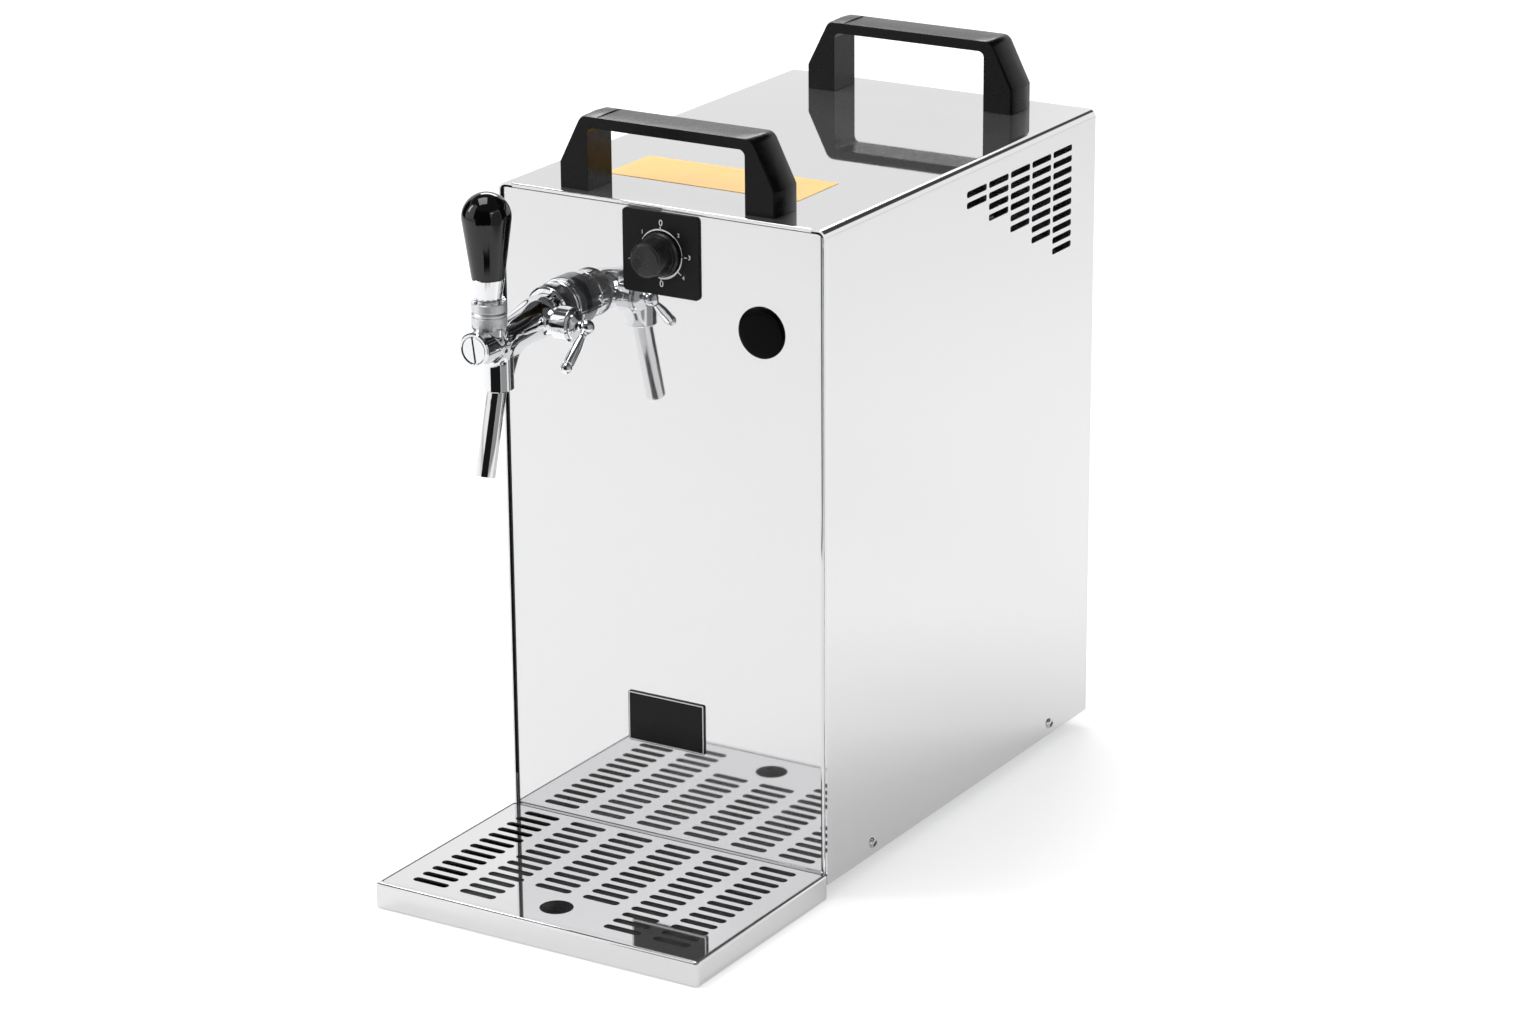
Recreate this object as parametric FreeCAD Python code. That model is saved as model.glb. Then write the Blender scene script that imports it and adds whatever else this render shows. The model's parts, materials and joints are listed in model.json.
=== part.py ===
import FreeCAD, Part
import math
import os

# Countertop dry beer cooler with one compensator tap. Millimetres, +Z up, the tap faces -Y.
# The origin is under the middle of the whole outline, on the surface that the cooler stands on.

V = FreeCAD.Vector
X_AXIS = V(1, 0, 0)
Y_AXIS = V(0, 1, 0)
Z_AXIS = V(0, 0, 1)

# ---------------------------------------------------------------- driving dimensions
# Casing of folded stainless sheet
CASE_WIDTH = 173.0
CASE_DEPTH = 256.0
CASE_HEIGHT = 310.0
FOOT_HEIGHT = 6.5
SHEET = 1.0
COVER_BEND = 4.0
PANEL_BEND = 2.0
PANEL_GAP = 0.3
FLANGE_DEPTH = 12.0
BASE_FLANGE = 19.5
HEM_DEPTH = 8.0
HEM_HALF_WIDTH = 79.0

# Drip tray in front
TRAY_WIDTH = 174.0
TRAY_DEPTH = 113.0
TRAY_HEIGHT = 12.1
TRAY_SHEET = 0.8
TRAY_HEM = 1.6
TRAY_FRONT_HEM = 3.4
TRAY_GAP = 0.3
TRAY_CORNER = 2.0

# How far the beer inlet stands out behind
INLET_REACH = 20.0

# Where the panel lies: the outline is centred on the origin
TOTAL_DEPTH = TRAY_DEPTH + CASE_DEPTH + INLET_REACH
FRONT = TRAY_DEPTH - TOTAL_DEPTH / 2
BACK = FRONT + CASE_DEPTH
BOTTOM = FOOT_HEIGHT
TOP = BOTTOM + CASE_HEIGHT
HALF = CASE_WIDTH / 2
INNER_HALF = HALF - SHEET
PANEL_HALF = INNER_HALF - PANEL_GAP

# Side vents: each column has two slots more than the one in front of it
VENT_COLUMNS = 5
VENT_FIRST_Y = FRONT + 137.2
VENT_PITCH_Y = 21.25
VENT_TOP_Z = TOP - 13.3
VENT_PITCH_Z = 5.27
VENT_LENGTH = 19.0
VENT_HEIGHT = 3.1
VENT_CORNER = 1.2

# Rear fan grille: rows of slots inside a circle
FAN_X = 0.0
FAN_Z = 215.0
REAR_GRILLE_RADIUS = 46.0
REAR_SLOT_PITCH = 10.0
REAR_SLOT_HEIGHT = 5.0
REAR_RIB = 5.0

# Bridge handles
HANDLE_HALF = 57.5
HANDLE_KNEE = 12.0
HANDLE_TOP_HALF = 45.5
HANDLE_HEIGHT = 35.0
HANDLE_DEPTH = 20.0
HANDLE_INNER_HALF = 41.5
HANDLE_BAR = 7.5
HANDLE_RECESS_HALF = 36.0
HANDLE_RECESS = 0.6
HANDLE_SCREW_X = 49.5
FRONT_HANDLE_Y = FRONT + 16.0
REAR_HANDLE_Y = FRONT + 235.0

# Screws and feet
SIDE_SCREW_Y = (FRONT + 41.5, BACK - 39.5)
SIDE_SCREW_Z = BOTTOM + 6.0
SIDE_SCREW_R = 1.5
SIDE_HEAD_R = 2.6
FOOT_X = 66.0
FOOT_Y = (FRONT + 24.0, BACK - 18.0)
FOOT_SCREW_R = 1.9

# Fittings on the front panel
FITTING_Z = 265.5
TAP_X = -48.5
PLUG_X = 53.5
PLUG_R = 12.0
PLUG_HOLE_R = 10.0
DIAL_X = 1.5
DIAL_Z = 294.7
DIAL_WIDTH = 40.5
DIAL_HEIGHT = 38.5
DIAL_PLATE = 1.2
BADGE_X = 0.5
BADGE_Z = 69.7
BADGE_WIDTH = 41.5
BADGE_HEIGHT = 24.5
BADGE_PLATE = 0.9
LABEL_X = -1.0
LABEL_Y = FRONT + 55.5
LABEL_WIDTH = 102.0
LABEL_LENGTH = 36.0
LABEL_SHEET = 0.2

# Tap: distances called "reach" are measured from the panel forwards
SHANK_R = 8.0
SHANK_BORE_R = 4.0
SHANK_LENGTH = 40.0
TAIL_REACH = 10.5
ROSETTE_R = 12.4
ROSETTE_THICK = 4.8
NUT_KNURL_REACH = 10.5
NUT_KNURL_R = 11.8
NUT_REACH = 19.6
NUT_RIDGES = 36
BARREL_R = 7.9
BARREL_Z = 262.0
BARREL_REACH = 77.2
BARREL_BORE_R = 5.05
SEAT_BORE_R = 4.02
CAP_R = 6.2
LEVER_REACH = 64.2
LEVER_PIVOT_Z = 271.5
LEVER_BALL_R = 4.0
BONNET_R = 8.1
BONNET_DOME = 9.3
LEVER_NUT_R = 8.0
LEVER_NUT_CUP = 9.75
LEVER_PIN = 6.3
SPOUT_REACH = 58.9
SPOUT_R = 4.55
SPOUT_BORE_R = 3.75
SPOUT_END_REACH = 70.6
SPOUT_END_Z = 201.5
SPOUT_BEND = 60.0
SPOUT_COLLAR_R = 7.3
SPOUT_COLLAR_Z = 239.5
COMP_REACH = 26.6
COMP_Z = 263.8
COMP_R = 8.0
COMP_SEAT = 12.2
COMP_FACE = 20.4
COMP_SPINDLE_R = 3.0
COMP_PIN_THROW = 1.6
RUNNING_GAP = 0.05

# Cold side and compressor
BLOCK_Y = (FRONT + 32.0, FRONT + 84.0)
FOAM_Y = (FRONT + 18.0, FRONT + 98.0)
COMPRESSOR_X = 18.0
COMPRESSOR_Y = BACK - 72.0
CONDENSER_Y = BACK - 74.0
CONDENSER_HALF = 62.0
CONDENSER_DEPTH = 40.0
CONDENSER_LOW, CONDENSER_HIGH = 161.0, 273.0
CONDENSER_ROWS = (178.0, 204.0, 230.0, 256.0)
CONDENSER_TUBE_R = 4.2
FIN_COUNT = 11
FIN_SHEET = 1.0
FAN_PLATE_Y = BACK - 26.0
FAN_PLATE = 2.0
DUCT_R = 43.0
INLET_X = -66.0
INLET_Z = 60.0
GLAND_Z = 37.0
PIPE_LANE_Y = FRONT + 108.0


# ---------------------------------------------------------------- shaping helpers
def block(x0, x1, y0, y1, z0, z1):
    return Part.makeBox(x1 - x0, y1 - y0, z1 - z0, V(x0, y0, z0))


def rod(base, axis, radius, length):
    return Part.makeCylinder(radius, length, base, axis)


def ring(base, axis, outer, inner, length):
    return rod(base, axis, outer, length).cut(rod(base, axis, inner, length))


def turned(profile, base, axis):
    """A solid of revolution: profile holds (radius, distance along the axis) points."""
    side = Z_AXIS if abs(axis.dot(Z_AXIS)) < 0.9 else X_AXIS
    points = [base + axis * along + side * radius for radius, along in profile]
    face = Part.Face(Part.makePolygon(points + points[:1]))
    return face.revolve(base, axis, 360)


def on_xz(y):
    return lambda u, v: V(u, y, v)


def on_yz(x):
    return lambda u, v: V(x, u, v)


def on_xy(z):
    return lambda u, v: V(u, v, z)


def outline(points, radii, place):
    """A closed wire through 2D corner points, each corner rounded to its own radius."""
    count = len(points)
    corners = []
    for i in range(count):
        here = V(*points[i], 0)
        before = V(*points[i - 1], 0) - here
        after = V(*points[(i + 1) % count], 0) - here
        radius = radii[i]
        if radius == 0:
            corners.append((here, None, here))
            continue
        before.normalize()
        after.normalize()
        half = before.getAngle(after) / 2
        reach = radius / math.tan(half)
        middle = before + after
        middle.normalize()
        touch = here + middle * (radius / math.sin(half) - radius)
        corners.append((here + before * reach, touch, here + after * reach))
    edges = []
    for i in range(count):
        start, touch, end = [p and place(p.x, p.y) for p in corners[i]]
        following = corners[(i + 1) % count][0]
        if touch:
            edges.append(Part.Arc(start, touch, end).toShape())
        edges.append(Part.LineSegment(end, place(following.x, following.y)).toShape())
    return Part.Wire(edges)


def rectangle(cx, cy, width, height, radius, place):
    x, y = width / 2, height / 2
    corners = [(cx - x, cy - y), (cx + x, cy - y), (cx + x, cy + y), (cx - x, cy + y)]
    return outline(corners, [radius] * 4, place)


def circle(cx, cy, radius, normal, place):
    return Part.Wire(Part.makeCircle(radius, place(cx, cy), normal))


def plate(wires, thickness):
    """A flat plate: the first wire is its edge and the others are its holes."""
    return Part.makeFace(wires, "Part::FaceMakerBullseye").extrude(thickness)


def pipe(points, radius, bend):
    """A round bar along straight runs that are joined by tangent arcs."""
    edges = []
    start = points[0]
    for before, here, after in zip(points, points[1:], points[2:]):
        back = (before - here).normalize()
        ahead = (after - here).normalize()
        half = back.getAngle(ahead) / 2
        reach = bend / math.tan(half)
        middle = (back + ahead).normalize()
        touch = here + middle * (bend / math.sin(half) - bend)
        edges.append(Part.LineSegment(start, here + back * reach).toShape())
        edges.append(Part.Arc(here + back * reach, touch, here + ahead * reach).toShape())
        start = here + ahead * reach
    edges.append(Part.LineSegment(start, points[-1]).toShape())
    section = Part.Wire(Part.makeCircle(radius, points[0], points[1] - points[0]))
    return Part.Wire(edges).makePipeShell([section], True, False)


def fused(first, *others):
    return first.fuse(list(others)).removeSplitter()


def tap_point(reach, z, x=TAP_X):
    return V(x, FRONT - reach, z)


# ---------------------------------------------------------------- casing
def channel(face_y, inwards, top):
    """A panel with its two side edges bent back, cut clear of the base pan's corners."""
    inner = face_y + inwards * SHEET
    deep = face_y + inwards * FLANGE_DEPTH
    outer_x, inner_x = PANEL_HALF, PANEL_HALF - SHEET
    corners = [(-outer_x, deep), (-outer_x, face_y), (outer_x, face_y), (outer_x, deep),
               (inner_x, deep), (inner_x, inner), (-inner_x, inner), (-inner_x, deep)]
    inside = PANEL_BEND - SHEET
    radii = [0, PANEL_BEND, PANEL_BEND, 0, 0, inside, inside, 0]
    shape = plate([outline(corners, radii, on_xy(BOTTOM))], V(0, 0, top - BOTTOM))
    low, high = sorted((inner, deep))
    clear = SHEET / 2
    base_relief = block(-HALF, HALF, low, high, BOTTOM, BOTTOM + BASE_FLANGE + clear)
    top_relief = block(-HALF, HALF, low, high, top - COVER_BEND, top)
    round_r = COVER_BEND - SHEET + PANEL_GAP
    corners = [(-outer_x, BOTTOM), (-outer_x, top), (outer_x, top), (outer_x, BOTTOM)]
    rounded = outline(corners, [0, round_r, round_r, 0], on_xz(min(face_y, deep)))
    envelope = plate([rounded], V(0, FLANGE_DEPTH, 0))
    return shape.cut([base_relief, top_relief]).common(envelope)


def front_panel():
    panel = channel(FRONT, 1, TOP - 2 * SHEET)
    top = TOP - 2 * SHEET
    lip = block(-HEM_HALF_WIDTH, HEM_HALF_WIDTH, FRONT + SHEET, FRONT + 10, top - SHEET, top)
    place = on_xz(FRONT - SHEET)
    holes = [circle(TAP_X, FITTING_Z, SHANK_R + 0.2, Y_AXIS, place),
             circle(PLUG_X, FITTING_Z, PLUG_HOLE_R, Y_AXIS, place),
             circle(DIAL_X, DIAL_Z, 4.2, Y_AXIS, place)]
    cutters = [Part.Face(hole).extrude(V(0, 3 * SHEET, 0)) for hole in holes]
    return fused(panel, lip).cut(cutters)


def rear_grille_slots():
    """Rows of slots split by a middle rib, each as long as the round fan opening allows."""
    slots = []
    rows = int(REAR_GRILLE_RADIUS // REAR_SLOT_PITCH)
    for row in range(-rows, rows + 1):
        height = row * REAR_SLOT_PITCH
        reach = math.sqrt(REAR_GRILLE_RADIUS ** 2 - height ** 2)
        width = reach - REAR_RIB / 2
        for side in (-1, 1):
            middle = FAN_X + side * (REAR_RIB / 2 + width / 2)
            slots.append(rectangle(middle, FAN_Z + height, width, REAR_SLOT_HEIGHT, 2.0,
                                   on_xz(BACK - 2 * SHEET)))
    return slots


def rear_panel():
    panel = channel(BACK, -1, TOP - SHEET)
    lip_top = TOP - SHEET
    lip = block(-HEM_HALF_WIDTH, HEM_HALF_WIDTH, BACK - 10, BACK - SHEET, lip_top - SHEET, lip_top)
    place = on_xz(BACK - 2 * SHEET)
    holes = rear_grille_slots()
    holes.append(circle(INLET_X, INLET_Z, 8.2, Y_AXIS, place))
    holes.append(circle(INLET_X, GLAND_Z, 6.2, Y_AXIS, place))
    cutters = [Part.Face(hole).extrude(V(0, 3 * SHEET, 0)) for hole in holes]
    return fused(panel, lip).cut(cutters)


def vent_slots():
    """Slots that run right across the cover, so that both sides get the same vents."""
    slots = []
    for column in range(VENT_COLUMNS):
        y = VENT_FIRST_Y + column * VENT_PITCH_Y
        for row in range(2 * (column + 1)):
            z = VENT_TOP_Z - row * VENT_PITCH_Z
            wire = rectangle(y, z, VENT_LENGTH, VENT_HEIGHT, VENT_CORNER, on_yz(-HALF - 1))
            slots.append(Part.Face(wire).extrude(V(CASE_WIDTH + 2, 0, 0)))
    return slots


def casing_cover():
    """Sides and top folded from one sheet, with the front edge of the top hemmed under."""
    inner_top = TOP - SHEET
    corners = [(-HALF, BOTTOM), (-HALF, TOP), (HALF, TOP), (HALF, BOTTOM),
               (INNER_HALF, BOTTOM), (INNER_HALF, inner_top),
               (-INNER_HALF, inner_top), (-INNER_HALF, BOTTOM)]
    inside = COVER_BEND - SHEET
    radii = [0, COVER_BEND, COVER_BEND, 0, 0, inside, inside, 0]
    cover = plate([outline(corners, radii, on_xz(FRONT))], V(0, CASE_DEPTH, 0))
    hem_low = TOP - 2 * SHEET
    notch = block(-HEM_HALF_WIDTH, HEM_HALF_WIDTH, FRONT, FRONT + SHEET, hem_low, TOP)
    fold = [(FRONT, hem_low), (FRONT, TOP), (FRONT + SHEET, TOP), (FRONT + SHEET, inner_top),
            (FRONT + HEM_DEPTH, inner_top), (FRONT + HEM_DEPTH, hem_low)]
    round_r = 0.95 * SHEET
    hem_wire = outline(fold, [round_r, round_r, 0, 0, 0, 0], on_yz(-HEM_HALF_WIDTH))
    hem = plate([hem_wire], V(2 * HEM_HALF_WIDTH, 0, 0))
    holes = vent_slots()
    for y in SIDE_SCREW_Y:
        holes.append(rod(V(-HALF - 1, y, SIDE_SCREW_Z), X_AXIS, SIDE_SCREW_R + 0.2, CASE_WIDTH + 2))
    for x in (-HANDLE_SCREW_X, HANDLE_SCREW_X):
        for y in (FRONT_HANDLE_Y, REAR_HANDLE_Y):
            holes.append(rod(V(x, y, TOP - 2 * SHEET), Z_AXIS, 2.7, 3 * SHEET))
    return fused(cover.cut(notch), hem).cut(holes)


def base_pan():
    """A shallow folded pan that carries the machinery and takes the cover's side screws."""
    y0, y1 = FRONT + SHEET, BACK - SHEET
    pan = block(-INNER_HALF, INNER_HALF, y0, y1, BOTTOM, BOTTOM + BASE_FLANGE)
    floor = BOTTOM + SHEET
    inside = INNER_HALF - SHEET
    hollow = block(-inside, inside, y0 + SHEET, y1 - SHEET, floor, BOTTOM + BASE_FLANGE)
    holes = [hollow]
    for y in SIDE_SCREW_Y:
        holes.append(rod(V(-HALF, y, SIDE_SCREW_Z), X_AXIS, SIDE_SCREW_R + 0.1, CASE_WIDTH))
    for y in FOOT_Y:
        for x in (-FOOT_X, FOOT_X):
            holes.append(rod(V(x, y, BOTTOM - 1), Z_AXIS, FOOT_SCREW_R + 0.1, 3))
    for step in range(5):
        x = COMPRESSOR_X + (step - 2) * 14
        wire = rectangle(x, COMPRESSOR_Y, 5, 46, 2.4, on_xy(BOTTOM - 1))
        holes.append(Part.Face(wire).extrude(V(0, 0, 3)))
    return pan.cut(holes)


def cover_screws():
    """Four round-headed slotted screws, two on each side."""
    screws = []
    profile = [(0, 0), (SIDE_HEAD_R, 0), (SIDE_HEAD_R * 0.92, 0.7), (SIDE_HEAD_R * 0.6, 1.35),
               (0, 1.6)]
    for side in (-1, 1):
        for y in SIDE_SCREW_Y:
            seat = V(side * HALF, y, SIDE_SCREW_Z)
            head = turned(profile, seat, X_AXIS * side)
            shank = rod(seat - X_AXIS * side * 6, X_AXIS * side, SIDE_SCREW_R, 6)
            slot = block(-0.35, 0.35, -3, 3, -0.8, 0.8)
            slot.translate(seat + X_AXIS * side * 1.35)
            slot = slot.rotate(seat, X_AXIS, 35) or slot
            screws.append(fused(head, shank).cut(slot))
    return Part.makeCompound(screws)


def rubber_feet():
    profile = [(FOOT_SCREW_R + 0.1, FOOT_HEIGHT), (8.5, FOOT_HEIGHT), (9.5, 0.8), (8.8, 0),
               (5, 0), (5, 3.2), (FOOT_SCREW_R + 0.1, 3.2)]
    return Part.makeCompound([turned(profile, V(x, y, 0), Z_AXIS)
                              for x in (-FOOT_X, FOOT_X) for y in FOOT_Y])


def foot_screws():
    profile = [(0, 0.9), (3.4, 0.9), (3.8, 1.5), (3.8, 3.2), (FOOT_SCREW_R, 3.2),
               (FOOT_SCREW_R, 13), (0, 13)]
    return Part.makeCompound([turned(profile, V(x, y, 0), Z_AXIS)
                              for x in (-FOOT_X, FOOT_X) for y in FOOT_Y])


def bridge_handle(middle_y):
    """A moulded bridge: ruled sections give its outer faces their shallow ridge, and the bar is
    recessed between the two legs."""
    sections = []
    ridge = ((0, 1.3), (0.08, 0.5), (0.6, 0), (0.92, 0.5), (1, 1.3))
    for share, inset in ridge:
        y = middle_y + (share - 0.5) * HANDLE_DEPTH
        wide, high = HANDLE_HALF - inset, HANDLE_HEIGHT - inset / 2
        corners = [(-wide, 0), (-wide, HANDLE_KNEE), (inset / 2 - HANDLE_TOP_HALF, high),
                   (HANDLE_TOP_HALF - inset / 2, high), (wide, HANDLE_KNEE), (wide, 0)]
        raised = [(x, z + TOP) for x, z in corners]
        sections.append(outline(raised, [0, 1.5, 5, 5, 1.5, 0], on_xz(y)))
    body = Part.makeLoft(sections, True, True)
    inner = HANDLE_INNER_HALF
    low, high = TOP - 1, TOP + HANDLE_HEIGHT - HANDLE_BAR
    gap_corners = [(-inner, low), (-inner, high), (inner, high), (inner, low)]
    gap_wire = outline(gap_corners, [0, 3, 3, 0], on_xz(middle_y - HANDLE_DEPTH))
    gap = plate([gap_wire], V(0, 2 * HANDLE_DEPTH, 0))
    recess = block(-HANDLE_RECESS_HALF, HANDLE_RECESS_HALF, middle_y - HANDLE_DEPTH,
                   middle_y + HANDLE_DEPTH, TOP + HANDLE_HEIGHT - HANDLE_RECESS, TOP + HANDLE_HEIGHT)
    bores = [rod(V(x, middle_y, TOP), Z_AXIS, 2.5, 15) for x in (-HANDLE_SCREW_X, HANDLE_SCREW_X)]
    return body.cut([gap, recess] + bores)


def handle_screws():
    profile = [(0, -3), (4.4, -3), (4.4, 0), (2.5, 0), (2.5, 13), (0, 13)]
    return Part.makeCompound([turned(profile, V(x, y, TOP - SHEET), Z_AXIS)
                              for x in (-HANDLE_SCREW_X, HANDLE_SCREW_X)
                              for y in (FRONT_HANDLE_Y, REAR_HANDLE_Y)])


def badge_plate():
    wire = rectangle(BADGE_X, BADGE_Z, BADGE_WIDTH, BADGE_HEIGHT, 1.0, on_xz(FRONT))
    return plate([wire], V(0, -BADGE_PLATE, 0))


def top_label():
    wire = rectangle(LABEL_X, LABEL_Y, LABEL_WIDTH, LABEL_LENGTH, 0.6, on_xy(TOP))
    return plate([wire], V(0, 0, LABEL_SHEET))


def blanking_plug():
    """A snap-in cap that closes the second tap hole."""
    stem = PLUG_HOLE_R - 0.2
    profile = [(0, 1.7), (PLUG_R - 2, 1.6), (PLUG_R - 0.5, 1.2), (PLUG_R, 0.5), (PLUG_R, 0),
               (stem, 0), (stem, -SHEET), (stem + 0.6, -SHEET - 0.8), (stem - 0.4, -9),
               (stem - 1.6, -9), (stem - 1.6, 0.4), (0, 0.4)]
    return turned(profile, V(PLUG_X, FRONT, FITTING_Z), -Y_AXIS)


# ---------------------------------------------------------------- thermostat
def thermostat_plate():
    place = on_xz(FRONT)
    edge = rectangle(DIAL_X, DIAL_Z, DIAL_WIDTH, DIAL_HEIGHT, 2.2, place)
    hole = circle(DIAL_X, DIAL_Z, 4.2, Y_AXIS, place)
    return plate([edge, hole], V(0, -DIAL_PLATE, 0))


def thermostat_body():
    case = block(DIAL_X - 17, DIAL_X + 17, FRONT + SHEET, FRONT + 29, DIAL_Z - 14, DIAL_Z + 14)
    bush = rod(V(DIAL_X, FRONT - 2, DIAL_Z), Y_AXIS, 4.0, 4)
    bore = rod(V(DIAL_X, FRONT - 3, DIAL_Z), Y_AXIS, COMP_SPINDLE_R + RUNNING_GAP, 14)
    return fused(case, bush).cut(bore)


def thermostat_shaft():
    return rod(V(DIAL_X, FRONT - 12, DIAL_Z), Y_AXIS, COMP_SPINDLE_R, 22)


def faceted_barrel(start, length, start_r, end_r, facets):
    """A tapered barrel with flat grip faces, along -Y."""
    rings = []
    for along, radius in ((start, start_r), (start + length, end_r)):
        points = []
        for step in range(facets):
            angle = 2 * math.pi * step / facets
            points.append(V(DIAL_X + radius * math.cos(angle), FRONT - along,
                            DIAL_Z + radius * math.sin(angle)))
        rings.append(Part.makePolygon(points + points[:1]))
    return Part.makeLoft(rings, True, True)


def thermostat_knob():
    skirt = turned([(0, 0), (10.2, 0), (10.2, 1.0), (9.6, 1.6), (9.2, 3.2), (0, 3.2)],
                   V(DIAL_X, FRONT - 2.3, DIAL_Z), -Y_AXIS)
    barrel = faceted_barrel(5, 9.2, 8.9, 8.0, 20)
    crown = turned([(0, 0), (7.4, 0), (6.9, 0.5), (0, 0.5)],
                   V(DIAL_X, FRONT - 14.2, DIAL_Z), -Y_AXIS)
    bore = rod(V(DIAL_X, FRONT - 12, DIAL_Z), Y_AXIS, COMP_SPINDLE_R, 12)
    return fused(skirt, barrel, crown).cut(bore)


# ---------------------------------------------------------------- tap, fixed pieces
def tap_shank():
    body = rod(tap_point(TAIL_REACH, FITTING_Z), Y_AXIS, SHANK_R, TAIL_REACH + SHANK_LENGTH)
    bore = rod(tap_point(TAIL_REACH, FITTING_Z), Y_AXIS, SHANK_BORE_R, TAIL_REACH + SHANK_LENGTH)
    return body.cut(bore)


def shank_nut():
    points = []
    for step in range(6):
        angle = math.radians(60 * step)
        points.append(V(TAP_X + 13 * math.cos(angle), FRONT + SHEET,
                        FITTING_Z + 13 * math.sin(angle)))
    nut = Part.Face(Part.makePolygon(points + points[:1])).extrude(V(0, 7, 0))
    return nut.cut(rod(tap_point(0, FITTING_Z), Y_AXIS, SHANK_R, 10))


def tap_rosette():
    profile = [(SHANK_R, 0), (ROSETTE_R, 0), (ROSETTE_R, ROSETTE_THICK - 1),
               (ROSETTE_R - 0.6, ROSETTE_THICK), (SHANK_R, ROSETTE_THICK)]
    return turned(profile, tap_point(0, FITTING_Z), -Y_AXIS)


def coupling_nut():
    """The nut that draws the tap onto its shank: a plain band, then a tapered knurl."""
    start = ROSETTE_THICK
    knurl, tip = NUT_KNURL_REACH, NUT_REACH
    profile = [(SHANK_R, start), (ROSETTE_R - 0.7, start), (ROSETTE_R, start + 0.7),
               (ROSETTE_R, knurl - 0.6), (ROSETTE_R - 0.6, knurl), (NUT_KNURL_R, knurl),
               (NUT_KNURL_R - 0.6, tip - 1), (NUT_KNURL_R - 1.6, tip), (6.8, tip), (6.8, 13),
               (SHANK_R, 13)]
    nut = turned(profile, tap_point(0, FITTING_Z), -Y_AXIS)
    groove = block(TAP_X - 0.4, TAP_X + 0.4, FRONT - tip + 1.2, FRONT - knurl - 0.6,
                   FITTING_Z + NUT_KNURL_R - 1.1, FITTING_Z + NUT_KNURL_R + 1)
    grooves = []
    for step in range(NUT_RIDGES):
        copy = groove.copy()
        copy.rotate(tap_point(0, FITTING_Z), Y_AXIS, 360 * step / NUT_RIDGES)
        grooves.append(copy)
    return nut.cut(grooves)


def tap_body():
    """The cast body: a bulb for the compensator that runs forward into the valve barrel."""
    barrel = rod(tap_point(BARREL_REACH - 1, BARREL_Z), Y_AXIS, BARREL_R, BARREL_REACH - 48)
    tail = turned([(0, TAIL_REACH), (7.9, TAIL_REACH), (7.9, 12.9), (6.6, 12.9), (6.6, 21),
                   (0, 21)], tap_point(0, FITTING_Z), -Y_AXIS)
    lip = turned([(0, 0), (BARREL_R, 0), (BARREL_R - 0.3, 0.7), (BARREL_R - 1, 1), (0, 1)],
                 tap_point(BARREL_REACH - 1, BARREL_Z), -Y_AXIS)
    boss_height = LEVER_PIVOT_Z - 1.5 - BARREL_Z
    boss = rod(tap_point(LEVER_REACH, BARREL_Z), Z_AXIS, 7.6, boss_height)
    collar = turned([(0, 0), (SPOUT_COLLAR_R - 0.8, 0), (SPOUT_COLLAR_R - 0.2, 0.6),
                     (SPOUT_COLLAR_R, 1.6), (SPOUT_COLLAR_R, 12), (7.0, 20), (0, 20)],
                    tap_point(SPOUT_REACH, SPOUT_COLLAR_Z), Z_AXIS)
    comp_base = V(TAP_X, FRONT - COMP_REACH, COMP_Z)
    neck = rod(comp_base, X_AXIS, 6.4, COMP_SEAT)
    solid = fused(tap_bulb(), barrel, tail, lip, boss, collar, neck, spout_web())
    seat_end = LEVER_REACH - 16.3
    chamber_end = LEVER_REACH - 21
    cuts = [rod(tap_point(BARREL_REACH + 1, BARREL_Z), Y_AXIS, CAP_R, 5),
            rod(tap_point(BARREL_REACH, BARREL_Z), Y_AXIS, BARREL_BORE_R, BARREL_REACH - seat_end),
            rod(tap_point(seat_end + 1, BARREL_Z), Y_AXIS, SEAT_BORE_R, 6),
            rod(tap_point(chamber_end, 262.4), Y_AXIS, 4.4, 9.3),
            rod(tap_point(37, COMP_Z), Y_AXIS, SHANK_BORE_R, 37 - TAIL_REACH),
            rod(tap_point(LEVER_REACH, BARREL_Z), Z_AXIS, 4.6, 9),
            rod(tap_point(SPOUT_REACH, SPOUT_COLLAR_Z - 1), Z_AXIS, SPOUT_R, 20),
            rod(comp_base, X_AXIS, 4.5, COMP_SEAT),
            rod(V(TAP_X + 3.2, FRONT - 63, 253.4), X_AXIS, 1.2, 6)]
    return solid.cut(cuts)


def tap_bulb():
    """The bulb and neck, turned about an axis that falls towards the barrel."""
    start = tap_point(NUT_REACH + 0.4, FITTING_Z)
    along = (tap_point(52, BARREL_Z) - start).normalize()
    side = along.cross(X_AXIS)
    curve = ((8.2, 0), (9.0, 2.5), (9.5, 6.5), (9.2, 10.5), (8.6, 15), (8.1, 21), (7.9, 30))
    points = [start + side * radius + along * reach for radius, reach in curve]
    outer = Part.BSplineCurve()
    outer.interpolate(points)
    end = start + along * curve[-1][1]
    sides = [(points[-1], end), (end, start), (start, points[0])]
    edges = [outer.toShape()] + [Part.LineSegment(a, b).toShape() for a, b in sides]
    face = Part.Face(Part.Wire(Part.sortEdges(edges)[0]))
    nut_room = rod(tap_point(NUT_REACH + 0.3, FITTING_Z), Y_AXIS, 16, 8)
    return face.revolve(start, along, 360).cut(nut_room)


def spout_web():
    """The raked web that carries the spout collar under the barrel."""
    side = [(-31, 262), (-32, 255.6), (-42.5, 253.0), (-49.5, 248), (-53.3, 240), (-58, 240),
            (-66, 252), (-67, 262)]
    points = [(FRONT + reach, z) for reach, z in side]
    radii = [0, 2, 12, 8, 1, 2, 3, 0]
    wire = outline(points, radii, on_yz(TAP_X - 4.5))
    web = plate([wire], V(9, 0, 0))
    lengthwise = [edge for edge in web.Edges if edge.BoundBox.XLength < 0.01
                  and edge.BoundBox.ZMax < 256]
    return web.makeFillet(2.2, lengthwise)


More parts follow.
